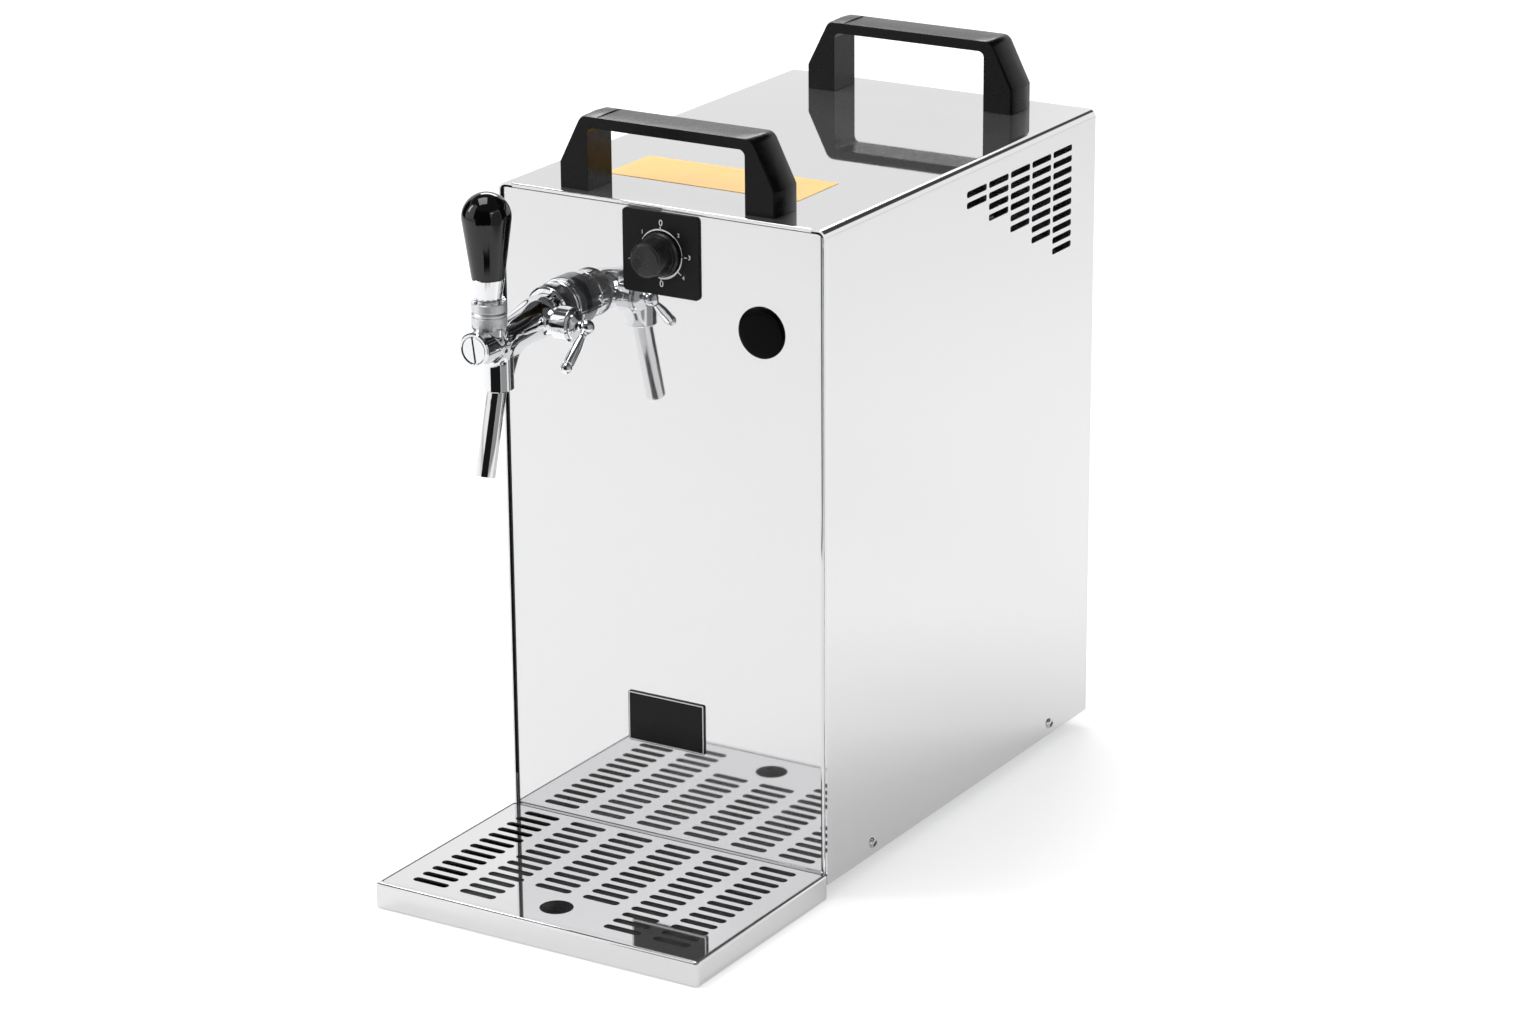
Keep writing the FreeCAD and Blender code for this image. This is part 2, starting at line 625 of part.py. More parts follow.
def front_cap():
    face = BARREL_REACH - 0.3
    cap = turned([(0, face - 2.6), (CAP_R, face - 2.6), (CAP_R, face - 0.5),
                  (CAP_R - 0.5, face), (0, face)], tap_point(0, BARREL_Z), -Y_AXIS)
    slot = block(TAP_X - 0.5, TAP_X + 0.5, FRONT - face - 1, FRONT - face + 1.2,
                 BARREL_Z - 7, BARREL_Z + 7)
    slot.rotate(tap_point(face, BARREL_Z), Y_AXIS, -8)
    return cap.cut(slot)


def lever_bonnet():
    """The ring nut over the lever's ball: its domed top follows the lever nut's cupped underside."""
    pivot = tap_point(LEVER_REACH, LEVER_PIVOT_Z)
    profile = [(0, -1.5), (7.6, -1.5), (BONNET_R, -1.0), (BONNET_R, 8), (0, 8)]
    nut = turned(profile, pivot, Z_AXIS).common(Part.makeSphere(BONNET_DOME, pivot))
    ball_seat = Part.makeSphere(LEVER_BALL_R + 0.1, pivot)
    mouth = turned([(0, 1), (3.1, 1), (6.4, 8.4), (0, 8.4)], pivot, Z_AXIS)
    below = rod(pivot - Z_AXIS * 3, Z_AXIS, 4.0, 2.8)
    return nut.cut([ball_seat, mouth, below])


def spout_path():
    rise = SPOUT_COLLAR_Z + 13
    knee = SPOUT_COLLAR_Z + 3
    return [tap_point(SPOUT_REACH, rise), tap_point(SPOUT_REACH, knee),
            tap_point(SPOUT_END_REACH, SPOUT_END_Z)]


def spout_tube():
    outer = pipe(spout_path(), SPOUT_R, SPOUT_BEND)
    inner = pipe(spout_path(), SPOUT_BORE_R, SPOUT_BEND)
    return outer.cut(inner)


def compensator_housing():
    base = V(TAP_X, FRONT - COMP_REACH, COMP_Z)
    bore = COMP_SPINDLE_R + RUNNING_GAP
    profile = [(bore, 5), (4.5, 5), (4.5, COMP_SEAT), (COMP_R - 0.5, COMP_SEAT),
               (COMP_R, COMP_SEAT + 0.5), (COMP_R, COMP_FACE - 0.5), (COMP_R - 0.5, COMP_FACE),
               (bore, COMP_FACE)]
    return turned(profile, base, X_AXIS)


# ---------------------------------------------------------------- tap, moving pieces
def lever_stem():
    pivot = tap_point(LEVER_REACH, LEVER_PIVOT_Z)
    shaft = turned([(0, -LEVER_PIN), (1.2, -LEVER_PIN), (1.2, -2), (2.2, 0), (2.2, 9.4),
                    (3, 9.4), (3, 34), (0, 34)], pivot, Z_AXIS)
    ball = Part.makeSphere(LEVER_BALL_R, pivot)
    tip = Part.makeSphere(1.5, pivot - Z_AXIS * LEVER_PIN)
    return fused(shaft, ball, tip)


def lever_nut():
    pivot = tap_point(LEVER_REACH, LEVER_PIVOT_Z)
    profile = [(3, 9.4), (3, 4), (LEVER_NUT_R, 4), (LEVER_NUT_R, 10.4), (7.2, 11.2), (3, 11.2)]
    return turned(profile, pivot, Z_AXIS).cut(Part.makeSphere(LEVER_NUT_CUP, pivot))


def lever_ferrule():
    pivot = tap_point(LEVER_REACH, LEVER_PIVOT_Z)
    profile = [(3, 11.2), (5.6, 11.2), (5.9, 11.6), (7.5, 20.5), (7.3, 20.9), (3, 20.9)]
    return turned(profile, pivot, Z_AXIS)


def lever_grip():
    """A cone that runs smoothly into a round head."""
    pivot = tap_point(LEVER_REACH, LEVER_PIVOT_Z)
    base_r, base_up = 7.6, 21.7
    head_r, head_up = 11.2, 48.5
    slant = math.hypot(base_r, head_up - base_up)
    lean = math.acos(head_r / slant) - math.atan2(head_up - base_up, base_r)

    def on_head(angle):
        return pivot + V(head_r * math.cos(angle), 0, head_up + head_r * math.sin(angle))

    head = Part.Arc(on_head(lean), on_head(math.pi / 4), on_head(math.pi / 2))
    corners = [on_head(math.pi / 2), pivot + V(0, 0, 34), pivot + V(3, 0, 34),
               pivot + V(3, 0, 20.9), pivot + V(7.2, 0, 20.9), pivot + V(base_r, 0, base_up),
               on_head(lean)]
    edges = [Part.LineSegment(a, b).toShape() for a, b in zip(corners, corners[1:])]
    face = Part.Face(Part.Wire([head.toShape()] + edges))
    return face.revolve(pivot, Z_AXIS, 360)


def valve_piston():
    """The valve spool: a guide land in front, a groove for the lever and a rod to the seal."""
    steps = [(0, -21.7), (2.6, -21.7), (2.6, -20.7), (1.6, -20.7), (1.6, -18.1), (2.6, -18.1),
             (2.6, -17.1), (1.6, -17.1), (1.6, -3.3), (4.0, -3.3), (4.0, -1.8), (1.0, -1.8),
             (1.0, 1.8), (4.0, 1.8), (4.0, 3.7), (5.0, 3.7), (5.0, 8.2), (0, 8.2)]
    profile = [(radius, LEVER_REACH + along) for radius, along in steps]
    return turned(profile, tap_point(0, BARREL_Z), -Y_AXIS)


def valve_seal():
    start = tap_point(LEVER_REACH - 18.1, BARREL_Z)
    return ring(start, Y_AXIS, SEAT_BORE_R - 0.07, 1.6, 2.6)


def compensator_lever():
    """Turning knob of the compensator: a domed cap, a ball and a slim arm."""
    base = V(TAP_X, FRONT - COMP_REACH, COMP_Z)
    face = COMP_FACE + 0.3
    cap = turned([(0, face), (6.8, face), (6.8, face + 0.5), (5.2, face + 1.5),
                  (2.6, face + 2.3), (2.3, face + 4.5), (0, face + 4.5)], base, X_AXIS)
    ball_centre = base + X_AXIS * 26.6
    ball = Part.makeSphere(3.5, ball_centre)
    tip = V(TAP_X + 26.2, FRONT - 43.4, 248.8)
    along = tip - ball_centre
    arm = Part.makeCone(1.5, 2.4, along.Length, ball_centre, along)
    return fused(cap, ball, arm, Part.makeSphere(2.4, tip))


def compensator_spindle():
    """The turning spindle; its offset pin drives the cone along the beer way."""
    base = V(TAP_X, FRONT - COMP_REACH, COMP_Z)
    shaft = rod(base + X_AXIS * 4.3, X_AXIS, COMP_SPINDLE_R, COMP_FACE - 4)
    pin = rod(base + V(0.6, 0, COMP_PIN_THROW), X_AXIS, 1.0, 4)
    return fused(shaft, pin)


def compensator_cone():
    middle = COMP_REACH
    profile = [(0, middle - 8), (1.2, middle - 8), (3.6, middle - 2.8), (3.6, middle + 3),
               (2.4, middle + 5), (0, middle + 5)]
    cone = turned(profile, tap_point(0, COMP_Z), -Y_AXIS)
    slot = block(TAP_X - 0.2, TAP_X + 5, FRONT - middle - 1.2, FRONT - middle + 1.2,
                 COMP_Z - 4, COMP_Z + 4)
    return cone.cut(slot)


# ---------------------------------------------------------------- drip tray
TRAY_BACK = FRONT - TRAY_GAP
TRAY_FRONT = FRONT - TRAY_DEPTH
TRAY_MIDDLE_Y = (TRAY_BACK + TRAY_FRONT) / 2
GRILLE_CLEAR = 0.45
SLOT_COLUMNS = 6
SLOT_ROWS = 13
SHORT_ROWS = 10
SLOT_PITCH_X = 26.0
SLOT_PITCH_Y = 7.55
SLOT_FIRST = 8.6
SLOT_LENGTH = 19.0
SLOT_HEIGHT = 4.3
FINGER_REACH = 93.5
FINGER_R = 7.75


def grille_outline():
    """Width, depth and middle of the grille that drops in between the tray's hems."""
    width = TRAY_WIDTH - 2 * (TRAY_HEM + GRILLE_CLEAR)
    low = TRAY_FRONT + TRAY_FRONT_HEM + GRILLE_CLEAR
    high = TRAY_BACK - TRAY_HEM - GRILLE_CLEAR
    return width, high - low, (low + high) / 2


def drip_tray():
    """A pan of thin sheet with hemmed walls; the front hem is a wide, rolled one."""
    depth = TRAY_BACK - TRAY_FRONT
    outer = plate([rectangle(0, TRAY_MIDDLE_Y, TRAY_WIDTH, depth, TRAY_CORNER, on_xy(0))],
                  V(0, 0, TRAY_HEIGHT))
    floor_edges = [edge for edge in outer.Edges if edge.BoundBox.ZMax < 0.01]
    outer = outer.makeFillet(0.8, floor_edges)
    rolled = [edge for edge in outer.Edges if edge.BoundBox.ZMin > TRAY_HEIGHT - 0.01
              and edge.BoundBox.YMax < TRAY_FRONT + 0.01]
    outer = outer.makeFillet(1.5, rolled)
    x = TRAY_WIDTH / 2 - TRAY_HEM
    cavity = block(-x, x, TRAY_FRONT + TRAY_FRONT_HEM, TRAY_BACK - TRAY_HEM,
                   TRAY_SHEET, TRAY_HEIGHT + 1)
    relief = TRAY_HEIGHT - 4.5
    under = x + TRAY_HEM - TRAY_SHEET
    hollow = block(-under, under, TRAY_FRONT + TRAY_SHEET + 0.6, TRAY_BACK - TRAY_SHEET,
                   TRAY_SHEET, relief)
    return outer.cut([cavity, hollow])


def grille_slots(place):
    """Columns of slots; the two middle ones stop short of the finger hole."""
    slots = []
    for column in range(SLOT_COLUMNS):
        x = (column - (SLOT_COLUMNS - 1) / 2) * SLOT_PITCH_X
        rows = SHORT_ROWS if abs(x) < SLOT_PITCH_X else SLOT_ROWS
        for row in range(rows):
            y = FRONT - SLOT_FIRST - row * SLOT_PITCH_Y
            slots.append(rectangle(x, y, SLOT_LENGTH, SLOT_HEIGHT, SLOT_HEIGHT / 2 - 0.05, place))
    return slots


def drip_grille():
    """A slotted plate with its four edges folded down to stand on the tray's floor."""
    width, depth, middle = grille_outline()
    top = TRAY_HEIGHT - 0.2
    place = on_xy(top - TRAY_SHEET)
    wires = [rectangle(0, middle, width, depth, 1.2, place)]
    wires += grille_slots(place)
    wires.append(circle(0, FRONT - FINGER_REACH, FINGER_R, Z_AXIS, place))
    deck = plate(wires, V(0, 0, TRAY_SHEET))
    foot = TRAY_SHEET + 0.1
    low = on_xy(foot)
    edge = rectangle(0, middle, width, depth, 1.2, low)
    inside = rectangle(0, middle, width - 2 * TRAY_SHEET, depth - 2 * TRAY_SHEET, 0.4, low)
    skirt = plate([edge, inside], V(0, 0, top - TRAY_SHEET - foot))
    notch = 3.0
    notches = [block(x - notch, x + notch, y - notch, y + notch, 0, top - TRAY_SHEET)
               for x in (-width / 2, width / 2)
               for y in (middle - depth / 2, middle + depth / 2)]
    return fused(deck, skirt.cut(notches))


# ---------------------------------------------------------------- rear fittings
def inlet_fitting():
    """Push-in bulkhead connector for the beer line."""
    base = V(INLET_X, BACK, INLET_Z)
    profile = [(3.0, -22), (6, -22), (6, -20), (8, -19), (8, 0), (11, 0), (11, 6), (9.5, 6.6),
               (9.5, 16.2), (8.8, 17), (6.5, 17), (6.5, 4), (4.1, 4), (4.1, -12), (3.0, -12)]
    return turned(profile, base, Y_AXIS)


def inlet_nut():
    points = []
    for step in range(6):
        angle = math.radians(60 * step)
        points.append(V(INLET_X + 12.5 * math.cos(angle), BACK - SHEET,
                        INLET_Z + 12.5 * math.sin(angle)))
    nut = Part.Face(Part.makePolygon(points + points[:1])).extrude(V(0, -6, 0))
    return nut.cut(rod(V(INLET_X, BACK, INLET_Z), -Y_AXIS, 8, 8))


def inlet_collet():
    """The release ring: pushed in, it lets the beer tube go."""
    base = V(INLET_X, BACK, INLET_Z)
    profile = [(4.15, 6.5), (6.2, 6.5), (6.2, 18.6), (8.4, 18.6), (8.4, 19.6), (8.0, 20),
               (4.15, 20)]
    return turned(profile, base, Y_AXIS)


def cable_gland():
    base = V(INLET_X, BACK, GLAND_Z)
    profile = [(3.6, -9), (6, -9), (6, 0), (9, 0), (9, 5), (8, 5.4), (7.6, 11), (5.6, 13.5),
               (3.6, 13.5)]
    return turned(profile, base, Y_AXIS)


def gland_nut():
    points = []
    for step in range(6):
        angle = math.radians(60 * step)
        points.append(V(INLET_X + 9.8 * math.cos(angle), BACK - SHEET,
                        GLAND_Z + 9.8 * math.sin(angle)))
    nut = Part.Face(Part.makePolygon(points + points[:1])).extrude(V(0, -5, 0))
    return nut.cut(rod(V(INLET_X, BACK, GLAND_Z), -Y_AXIS, 6, 8))


# ---------------------------------------------------------------- refrigeration
COMPRESSOR_BASE_Z = 20.0
MOUNT_X = (COMPRESSOR_X - 52, COMPRESSOR_X + 52)
MOUNT_Y = (COMPRESSOR_Y - 38, COMPRESSOR_Y + 38)


def compressor():
    base = V(COMPRESSOR_X, COMPRESSOR_Y, 0)
    can = turned([(0, 22), (38, 22), (50, 30), (55, 38), (55, 74), (58, 75), (58, 79), (55, 80),
                  (55, 122), (48, 137), (30, 145), (10, 148), (0, 148)], base, Z_AXIS)
    plate_z = COMPRESSOR_BASE_Z
    foot = block(MOUNT_X[0] - 12, MOUNT_X[1] + 12, MOUNT_Y[0] - 10, MOUNT_Y[1] + 10,
                 plate_z, plate_z + 2.5)
    holes = [rod(V(x, y, plate_z - 1), Z_AXIS, 5, 5) for x in MOUNT_X for y in MOUNT_Y]
    return fused(can, foot.cut(holes))


def compressor_mounts():
    """Grooved rubber mounts that carry the compressor's base plate."""
    floor = BOTTOM + SHEET
    profile = [(0, floor), (8, floor), (9, floor + 2), (9, 18), (7.5, 20), (5, 20), (5, 22.5),
               (7, 22.5), (7, 25), (0, 25)]
    return Part.makeCompound([turned(profile, V(x, y, 0), Z_AXIS)
                              for x in MOUNT_X for y in MOUNT_Y])


def relay_box():
    side = COMPRESSOR_X - 55
    box = block(side - 20, side + 6, COMPRESSOR_Y - 20, COMPRESSOR_Y + 20, 84, 118)
    can = rod(V(COMPRESSOR_X, COMPRESSOR_Y, 80), Z_AXIS, 55, 42)
    return box.cut(can)


def condenser_fins():
    """Upright fins; the serpentine tube threads through one hole in each row."""
    fins = []
    middle_z = (CONDENSER_LOW + CONDENSER_HIGH) / 2
    height = CONDENSER_HIGH - CONDENSER_LOW
    for index in range(FIN_COUNT):
        x = (index - (FIN_COUNT - 1) / 2) * 2 * (CONDENSER_HALF - 2) / (FIN_COUNT - 1)
        place = on_yz(x - FIN_SHEET / 2)
        wires = [rectangle(CONDENSER_Y, middle_z, CONDENSER_DEPTH, height, 0.5, place)]
        wires += [circle(CONDENSER_Y, z, CONDENSER_TUBE_R, X_AXIS, place) for z in CONDENSER_ROWS]
        fins.append(plate(wires, V(FIN_SHEET, 0, 0)))
    return Part.makeCompound(fins)


def condenser_tube():
    ends = CONDENSER_HALF + 4
    points = []
    for index, z in enumerate(CONDENSER_ROWS):
        near = -ends if index % 2 == 0 else ends + 12
        far = ends + 12 if index % 2 == 0 else -ends
        if index % 2 == 1 and index < len(CONDENSER_ROWS) - 1:
            far = -ends - 12
        if index % 2 == 0 and index > 0:
            near = -ends - 12
        points += [V(near, CONDENSER_Y, z), V(far, CONDENSER_Y, z)]
    return pipe(points, CONDENSER_TUBE_R, 6.5)


def fan_bracket():
    """Cowl behind the rear panel: a duct for the fan, three arms that carry its motor, and two
    cheeks that reach forward and hold the ends of the condenser's tubes."""
    base = V(FAN_X, FAN_PLATE_Y, FAN_Z)
    place = on_xz(FAN_PLATE_Y)
    inner = CONDENSER_HALF - 2 + FIN_SHEET / 2
    outer = inner + 1.2
    middle_z = (CONDENSER_LOW + CONDENSER_HIGH) / 2
    frame = plate([rectangle(0, middle_z, 2 * outer, CONDENSER_HIGH - CONDENSER_LOW, 1.5, place),
                   circle(FAN_X, FAN_Z, DUCT_R, Y_AXIS, place)], V(0, FAN_PLATE, 0))
    duct = ring(base, Y_AXIS, DUCT_R + 2, DUCT_R, BACK - SHEET - FAN_PLATE_Y)
    hub = rod(base, Y_AXIS, 12, FAN_PLATE)
    arms = []
    for step in range(3):
        arm = block(FAN_X + 8, FAN_X + DUCT_R + 1, FAN_PLATE_Y, FAN_PLATE_Y + FAN_PLATE,
                    FAN_Z - 4, FAN_Z + 4)
        arm.rotate(base, Y_AXIS, 120 * step + 30)
        arms.append(arm)
    cheeks = [block(x, x + outer - inner, CONDENSER_Y - CONDENSER_DEPTH / 2, FAN_PLATE_Y + FAN_PLATE,
                    CONDENSER_LOW + 1.5, CONDENSER_HIGH - 1.5) for x in (-outer, inner)]
    tube_rows = [rod(V(-CONDENSER_HALF, CONDENSER_Y, z), X_AXIS, CONDENSER_TUBE_R,
                     2 * CONDENSER_HALF) for z in CONDENSER_ROWS]
    return fused(frame, duct, hub, *arms, *cheeks).cut(tube_rows + [rod(base, Y_AXIS, 3, 4)])


def fan_motor():
    base = V(FAN_X, FAN_PLATE_Y, FAN_Z)
    profile = [(1.55, 0), (8, 0), (16, 2), (17, 6), (17, 22), (13, 25), (1.55, 25)]
    return turned(profile, base, -Y_AXIS)


def fan_rotor():
    """Five twisted blades lofted from root to tip on a cupped hub."""
    hub_y = BACK - 21
    base = V(FAN_X, hub_y, FAN_Z)
    hub = turned([(0, 0), (14, 0), (15, 1.5), (15, 11), (12, 14), (0, 14)], base, Y_AXIS)
    shaft = rod(V(FAN_X, BACK - 40, FAN_Z), Y_AXIS, 1.5, 20)
    blade_y = hub_y + 6.5
    blades = []
    for step in range(5):
        wires = []
        for radius, chord, pitch in ((13.5, 15, 42), (27, 20, 32), (40, 24, 24)):
            lean = math.radians(pitch)
            along = V(0, math.sin(lean), math.cos(lean)) * (chord / 2)
            across = V(0, math.cos(lean), -math.sin(lean)) * 0.6
            middle = V(FAN_X + radius, blade_y, FAN_Z)
            corners = [middle - along - across, middle + along - across,
                       middle + along + across, middle - along + across]
            wires.append(Part.makePolygon(corners + corners[:1]))
        blade = Part.makeLoft(wires, True, True)
        blade.rotate(base, Y_AXIS, 72 * step)
        blades.append(blade)
    return fused(hub, shaft, *blades)


def cooling_block():
    """Cast aluminium block with the beer coil inside; the ports are blind sockets."""
    y0, y1 = BLOCK_Y
    body = block(-56, 56, y0, y1, 50, 230)
    upright = [edge for edge in body.Edges if abs(edge.tangentAt(edge.FirstParameter).z) > 0.9]
    body = body.makeFillet(8, upright)
    sockets = [rod(V(TAP_X, FRONT + 58, 222), Z_AXIS, 4, 10),
               rod(V(-42, y1 - 6, 60), Y_AXIS, 4, 8),
               rod(V(30, y1 - 6, 210), Y_AXIS, 3.5, 8),
               rod(V(-36, y1 - 6, 95), Y_AXIS, 1.3, 8)]
    return body.cut(sockets)


def insulation():
    """Foam box round the cooling block, pierced by its four lines; it stands on the base pan and
    is hollowed over the foot screws."""
    y0, y1 = FOAM_Y
    floor = BOTTOM + SHEET
    box = block(-70, 70, y0, y1, floor, 245)
    cavity = block(-56, 56, BLOCK_Y[0], BLOCK_Y[1], 50, 230)
    upright = [edge for edge in cavity.Edges if abs(edge.tangentAt(edge.FirstParameter).z) > 0.9]
    holes = [cavity.makeFillet(8, upright),
             rod(V(TAP_X, FRONT + 58, 228), Z_AXIS, 4.3, 20),
             rod(V(-42, y1 - 20, 60), Y_AXIS, 4.3, 24),
             rod(V(30, y1 - 20, 210), Y_AXIS, 3.8, 24),
             rod(V(-36, y1 - 20, 95), Y_AXIS, 1.6, 24)]
    holes += [rod(V(x, FOOT_Y[0], floor - 1), Z_AXIS, 3.5, 9) for x in (-FOOT_X, FOOT_X)]
    return box.cut(holes)


def beer_outlet_tube():
    back = FRONT + 58
    points = [V(TAP_X, FRONT + SHANK_LENGTH, FITTING_Z), V(TAP_X, back, FITTING_Z),
              V(TAP_X, back, 222)]
    return pipe(points, 4.0, 12)


def beer_inlet_tube():
    y1 = BLOCK_Y[1] - 6
    points = [V(INLET_X, BACK - 22, INLET_Z), V(INLET_X, PIPE_LANE_Y, INLET_Z),
              V(-42, PIPE_LANE_Y, INLET_Z), V(-42, y1, INLET_Z)]
    return pipe(points, 4.0, 9)


def suction_pipe():
    y1 = BLOCK_Y[1] - 6
    lane = FRONT + 112
    flank = COMPRESSOR_Y - math.sqrt(55 ** 2 - 12 ** 2)
    points = [V(30, y1, 210), V(30, lane, 210), V(30, lane, 108), V(30, flank, 108)]
    inner = rod(V(COMPRESSOR_X, COMPRESSOR_Y, 80), Z_AXIS, 55, 42)
    return pipe(points, 3.5, 8).cut(inner)


def discharge_pipe():
    side = -79
    riser = CONDENSER_Y + 13
    last = CONDENSER_ROWS[-1]
    points = [V(COMPRESSOR_X, COMPRESSOR_Y, 148), V(COMPRESSOR_X, COMPRESSOR_Y, 155),
              V(side, COMPRESSOR_Y, 155), V(side, riser, 155), V(side, riser, last),
              V(side, CONDENSER_Y, last), V(-CONDENSER_HALF - 4, CONDENSER_Y, last)]
    return pipe(points, 2.5, 5)


def liquid_pipe():
    z = CONDENSER_ROWS[0]
    points = [V(-CONDENSER_HALF - 4, CONDENSER_Y, z), V(-72, CONDENSER_Y, z),
              V(-72, PIPE_LANE_Y, z), V(-72, PIPE_LANE_Y, 165)]
    return pipe(points, 2.5, 5)


def filter_drier():
    profile = [(0, 0), (2.6, 0), (8, 7), (8, 48), (2.6, 55), (0, 55)]
    return turned(profile, V(-72, PIPE_LANE_Y, 110), Z_AXIS)


def capillary_tube():
    y1 = BLOCK_Y[1] - 6
    points = [V(-72, PIPE_LANE_Y, 110), V(-72, PIPE_LANE_Y, 95), V(-36, PIPE_LANE_Y, 95),
              V(-36, y1, 95)]
    return pipe(points, 1.3, 6)


PIECES = {
    "base_pan": base_pan,
    "front_panel": front_panel,
    "rear_panel": rear_panel,
    "casing_cover": casing_cover,
    "cover_screws": cover_screws,
    "rubber_feet": rubber_feet,
    "foot_screws": foot_screws,
    "front_handle": lambda: bridge_handle(FRONT_HANDLE_Y),
    "rear_handle": lambda: bridge_handle(REAR_HANDLE_Y),
    "handle_screws": handle_screws,
    "badge_plate": badge_plate,
    "top_label": top_label,
    "blanking_plug": blanking_plug,
    "thermostat_plate": thermostat_plate,
    "thermostat_body": thermostat_body,
    "thermostat_shaft": thermostat_shaft,
    "thermostat_knob": thermostat_knob,
    "tap_shank": tap_shank,
    "shank_nut": shank_nut,
    "tap_rosette": tap_rosette,
    "coupling_nut": coupling_nut,
    "tap_body": tap_body,
    "front_cap": front_cap,
    "lever_bonnet": lever_bonnet,
    "spout_tube": spout_tube,
    "compensator_housing": compensator_housing,
    "lever_stem": lever_stem,
    "lever_nut": lever_nut,
    "lever_ferrule": lever_ferrule,
    "lever_grip": lever_grip,
    "valve_piston": valve_piston,
    "valve_seal": valve_seal,
    "compensator_lever": compensator_lever,
    "compensator_spindle": compensator_spindle,
    "compensator_cone": compensator_cone,
    "drip_tray": drip_tray,
    "drip_grille": drip_grille,
    "inlet_fitting": inlet_fitting,
    "inlet_nut": inlet_nut,
    "inlet_collet": inlet_collet,
    "cable_gland": cable_gland,
    "gland_nut": gland_nut,
    "compressor": compressor,
    "compressor_mounts": compressor_mounts,
    "relay_box": relay_box,
    "condenser_fins": condenser_fins,
    "condenser_tube": condenser_tube,
    "fan_bracket": fan_bracket,
    "fan_motor": fan_motor,
    "fan_rotor": fan_rotor,
    "cooling_block": cooling_block,
    "insulation": insulation,
    "beer_outlet_tube": beer_outlet_tube,
    "beer_inlet_tube": beer_inlet_tube,
    "suction_pipe": suction_pipe,
    "discharge_pipe": discharge_pipe,
    "liquid_pipe": liquid_pipe,
    "filter_drier": filter_drier,
    "capillary_tube": capillary_tube,
}

os.makedirs("parts", exist_ok=True)
for name, make in PIECES.items():
    shape = make()
    solids = len(shape.Solids)
    box = shape.BoundBox
    print(f"{name:22s} solids {solids:2d} valid {shape.isValid()} volume {shape.Volume:10.1f} "
          f"x {box.XMin:7.1f} {box.XMax:7.1f} y {box.YMin:7.1f} {box.YMax:7.1f} "
          f"z {box.ZMin:7.1f} {box.ZMax:7.1f}")
    shape.exportStep(f"parts/{name}.step")
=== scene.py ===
# %% [markdown]
# # A countertop beer cooler
# A stainless box with a lever tap, a thermostat and a slotted drip tray. The CAD solids come in
# first, because they fix every size. Nearly every piece made here stands in the place of such a
# solid, and a few, such as print and knurls, are laid over one. Lengths are millimetres unless a
# comment says metres, and small functions turn places into Blender's metres.

# %% Load the frame
import math

import bmesh
import bpy
import numpy as np
from mathutils import Matrix, Vector
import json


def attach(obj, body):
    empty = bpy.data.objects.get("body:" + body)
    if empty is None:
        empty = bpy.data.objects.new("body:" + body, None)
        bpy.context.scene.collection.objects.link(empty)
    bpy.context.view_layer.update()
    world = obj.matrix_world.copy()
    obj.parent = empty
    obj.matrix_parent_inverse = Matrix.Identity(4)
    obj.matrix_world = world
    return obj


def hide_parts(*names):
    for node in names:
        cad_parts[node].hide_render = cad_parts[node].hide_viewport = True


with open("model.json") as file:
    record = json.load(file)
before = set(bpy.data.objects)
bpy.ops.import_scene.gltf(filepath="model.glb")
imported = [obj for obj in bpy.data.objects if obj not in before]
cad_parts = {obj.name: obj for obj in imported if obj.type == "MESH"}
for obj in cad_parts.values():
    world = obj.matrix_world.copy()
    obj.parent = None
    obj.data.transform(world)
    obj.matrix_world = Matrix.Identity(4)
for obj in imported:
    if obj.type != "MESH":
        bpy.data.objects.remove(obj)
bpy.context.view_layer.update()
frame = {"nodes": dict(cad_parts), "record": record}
node_slots = {part["node"]: part["material_slot"] for part in frame["record"]["subparts"]}
node_bodies = {node: body for body, nodes in frame["record"]["behaviour"]["bodies"].items()
               for node in nodes}
X_AXIS, Y_AXIS, Z_AXIS = Vector((1, 0, 0)), Vector((0, 1, 0)), Vector((0, 0, 1))

# %% [markdown]
# ## Sizes
# The panel that carries the tap is the datum: "reach" is a distance from it towards the person
# who pulls the beer, which is along -Y. The places and sizes that several pieces share stand here,
# and the others stand beside their piece, so that each is found where it is used.

# %% Sizes of the cooler
FRONT, TOP = -81.5, 316.5
TAP_X, FITTING_Z = -48.5, 265.5
BARREL_Z, BARREL_R = 262.0, 7.9
LEVER_REACH, PIVOT_Z = 64.2, 271.5
SPOUT_REACH, SPOUT_END_REACH, SPOUT_END_Z = 58.9, 70.6, 201.5
SPOUT_R, SPOUT_BORE_R, SPOUT_BEND = 4.55, 3.75, 60.0
COLLAR_Z, COLLAR_R = 239.5, 7.3
COMP_REACH, COMP_Z = 26.6, 263.8
DIAL_X, DIAL_Z = 1.5, 294.7


def mm(x, y, z):
    """A place given in millimetres, in Blender's metres."""
    return Vector((x, y, z)) * 0.001


def tap(reach, z, x=TAP_X):
    """A place given by its reach and its height, in the tap's own plane unless x is given."""
    return mm(x, FRONT - reach, z)


print("the lid is", TOP, "mm up, the tap", -TAP_X, "mm left of the middle")

# %% [markdown]
# ## Helpers for meshes
# A mesh is finished by merging its doubles, turning its faces outwards and shading it smooth
# between its real edges. Shading everything smooth would be less work, but polished metal shows
# every facet and every edge that is smeared, so this matters more than anything.

# %% Mesh helpers
SAME_PLACE, SLIVER = 1e-6, 1e-7
REAL_EDGE = 32


def smooth(mesh, degrees=REAL_EDGE):
    """Shades a mesh smooth, except across edges that bend more than degrees."""
    for polygon in mesh.polygons:
        polygon.use_smooth = True
    mesh.set_sharp_from_angle(angle=math.radians(degrees))
    return mesh


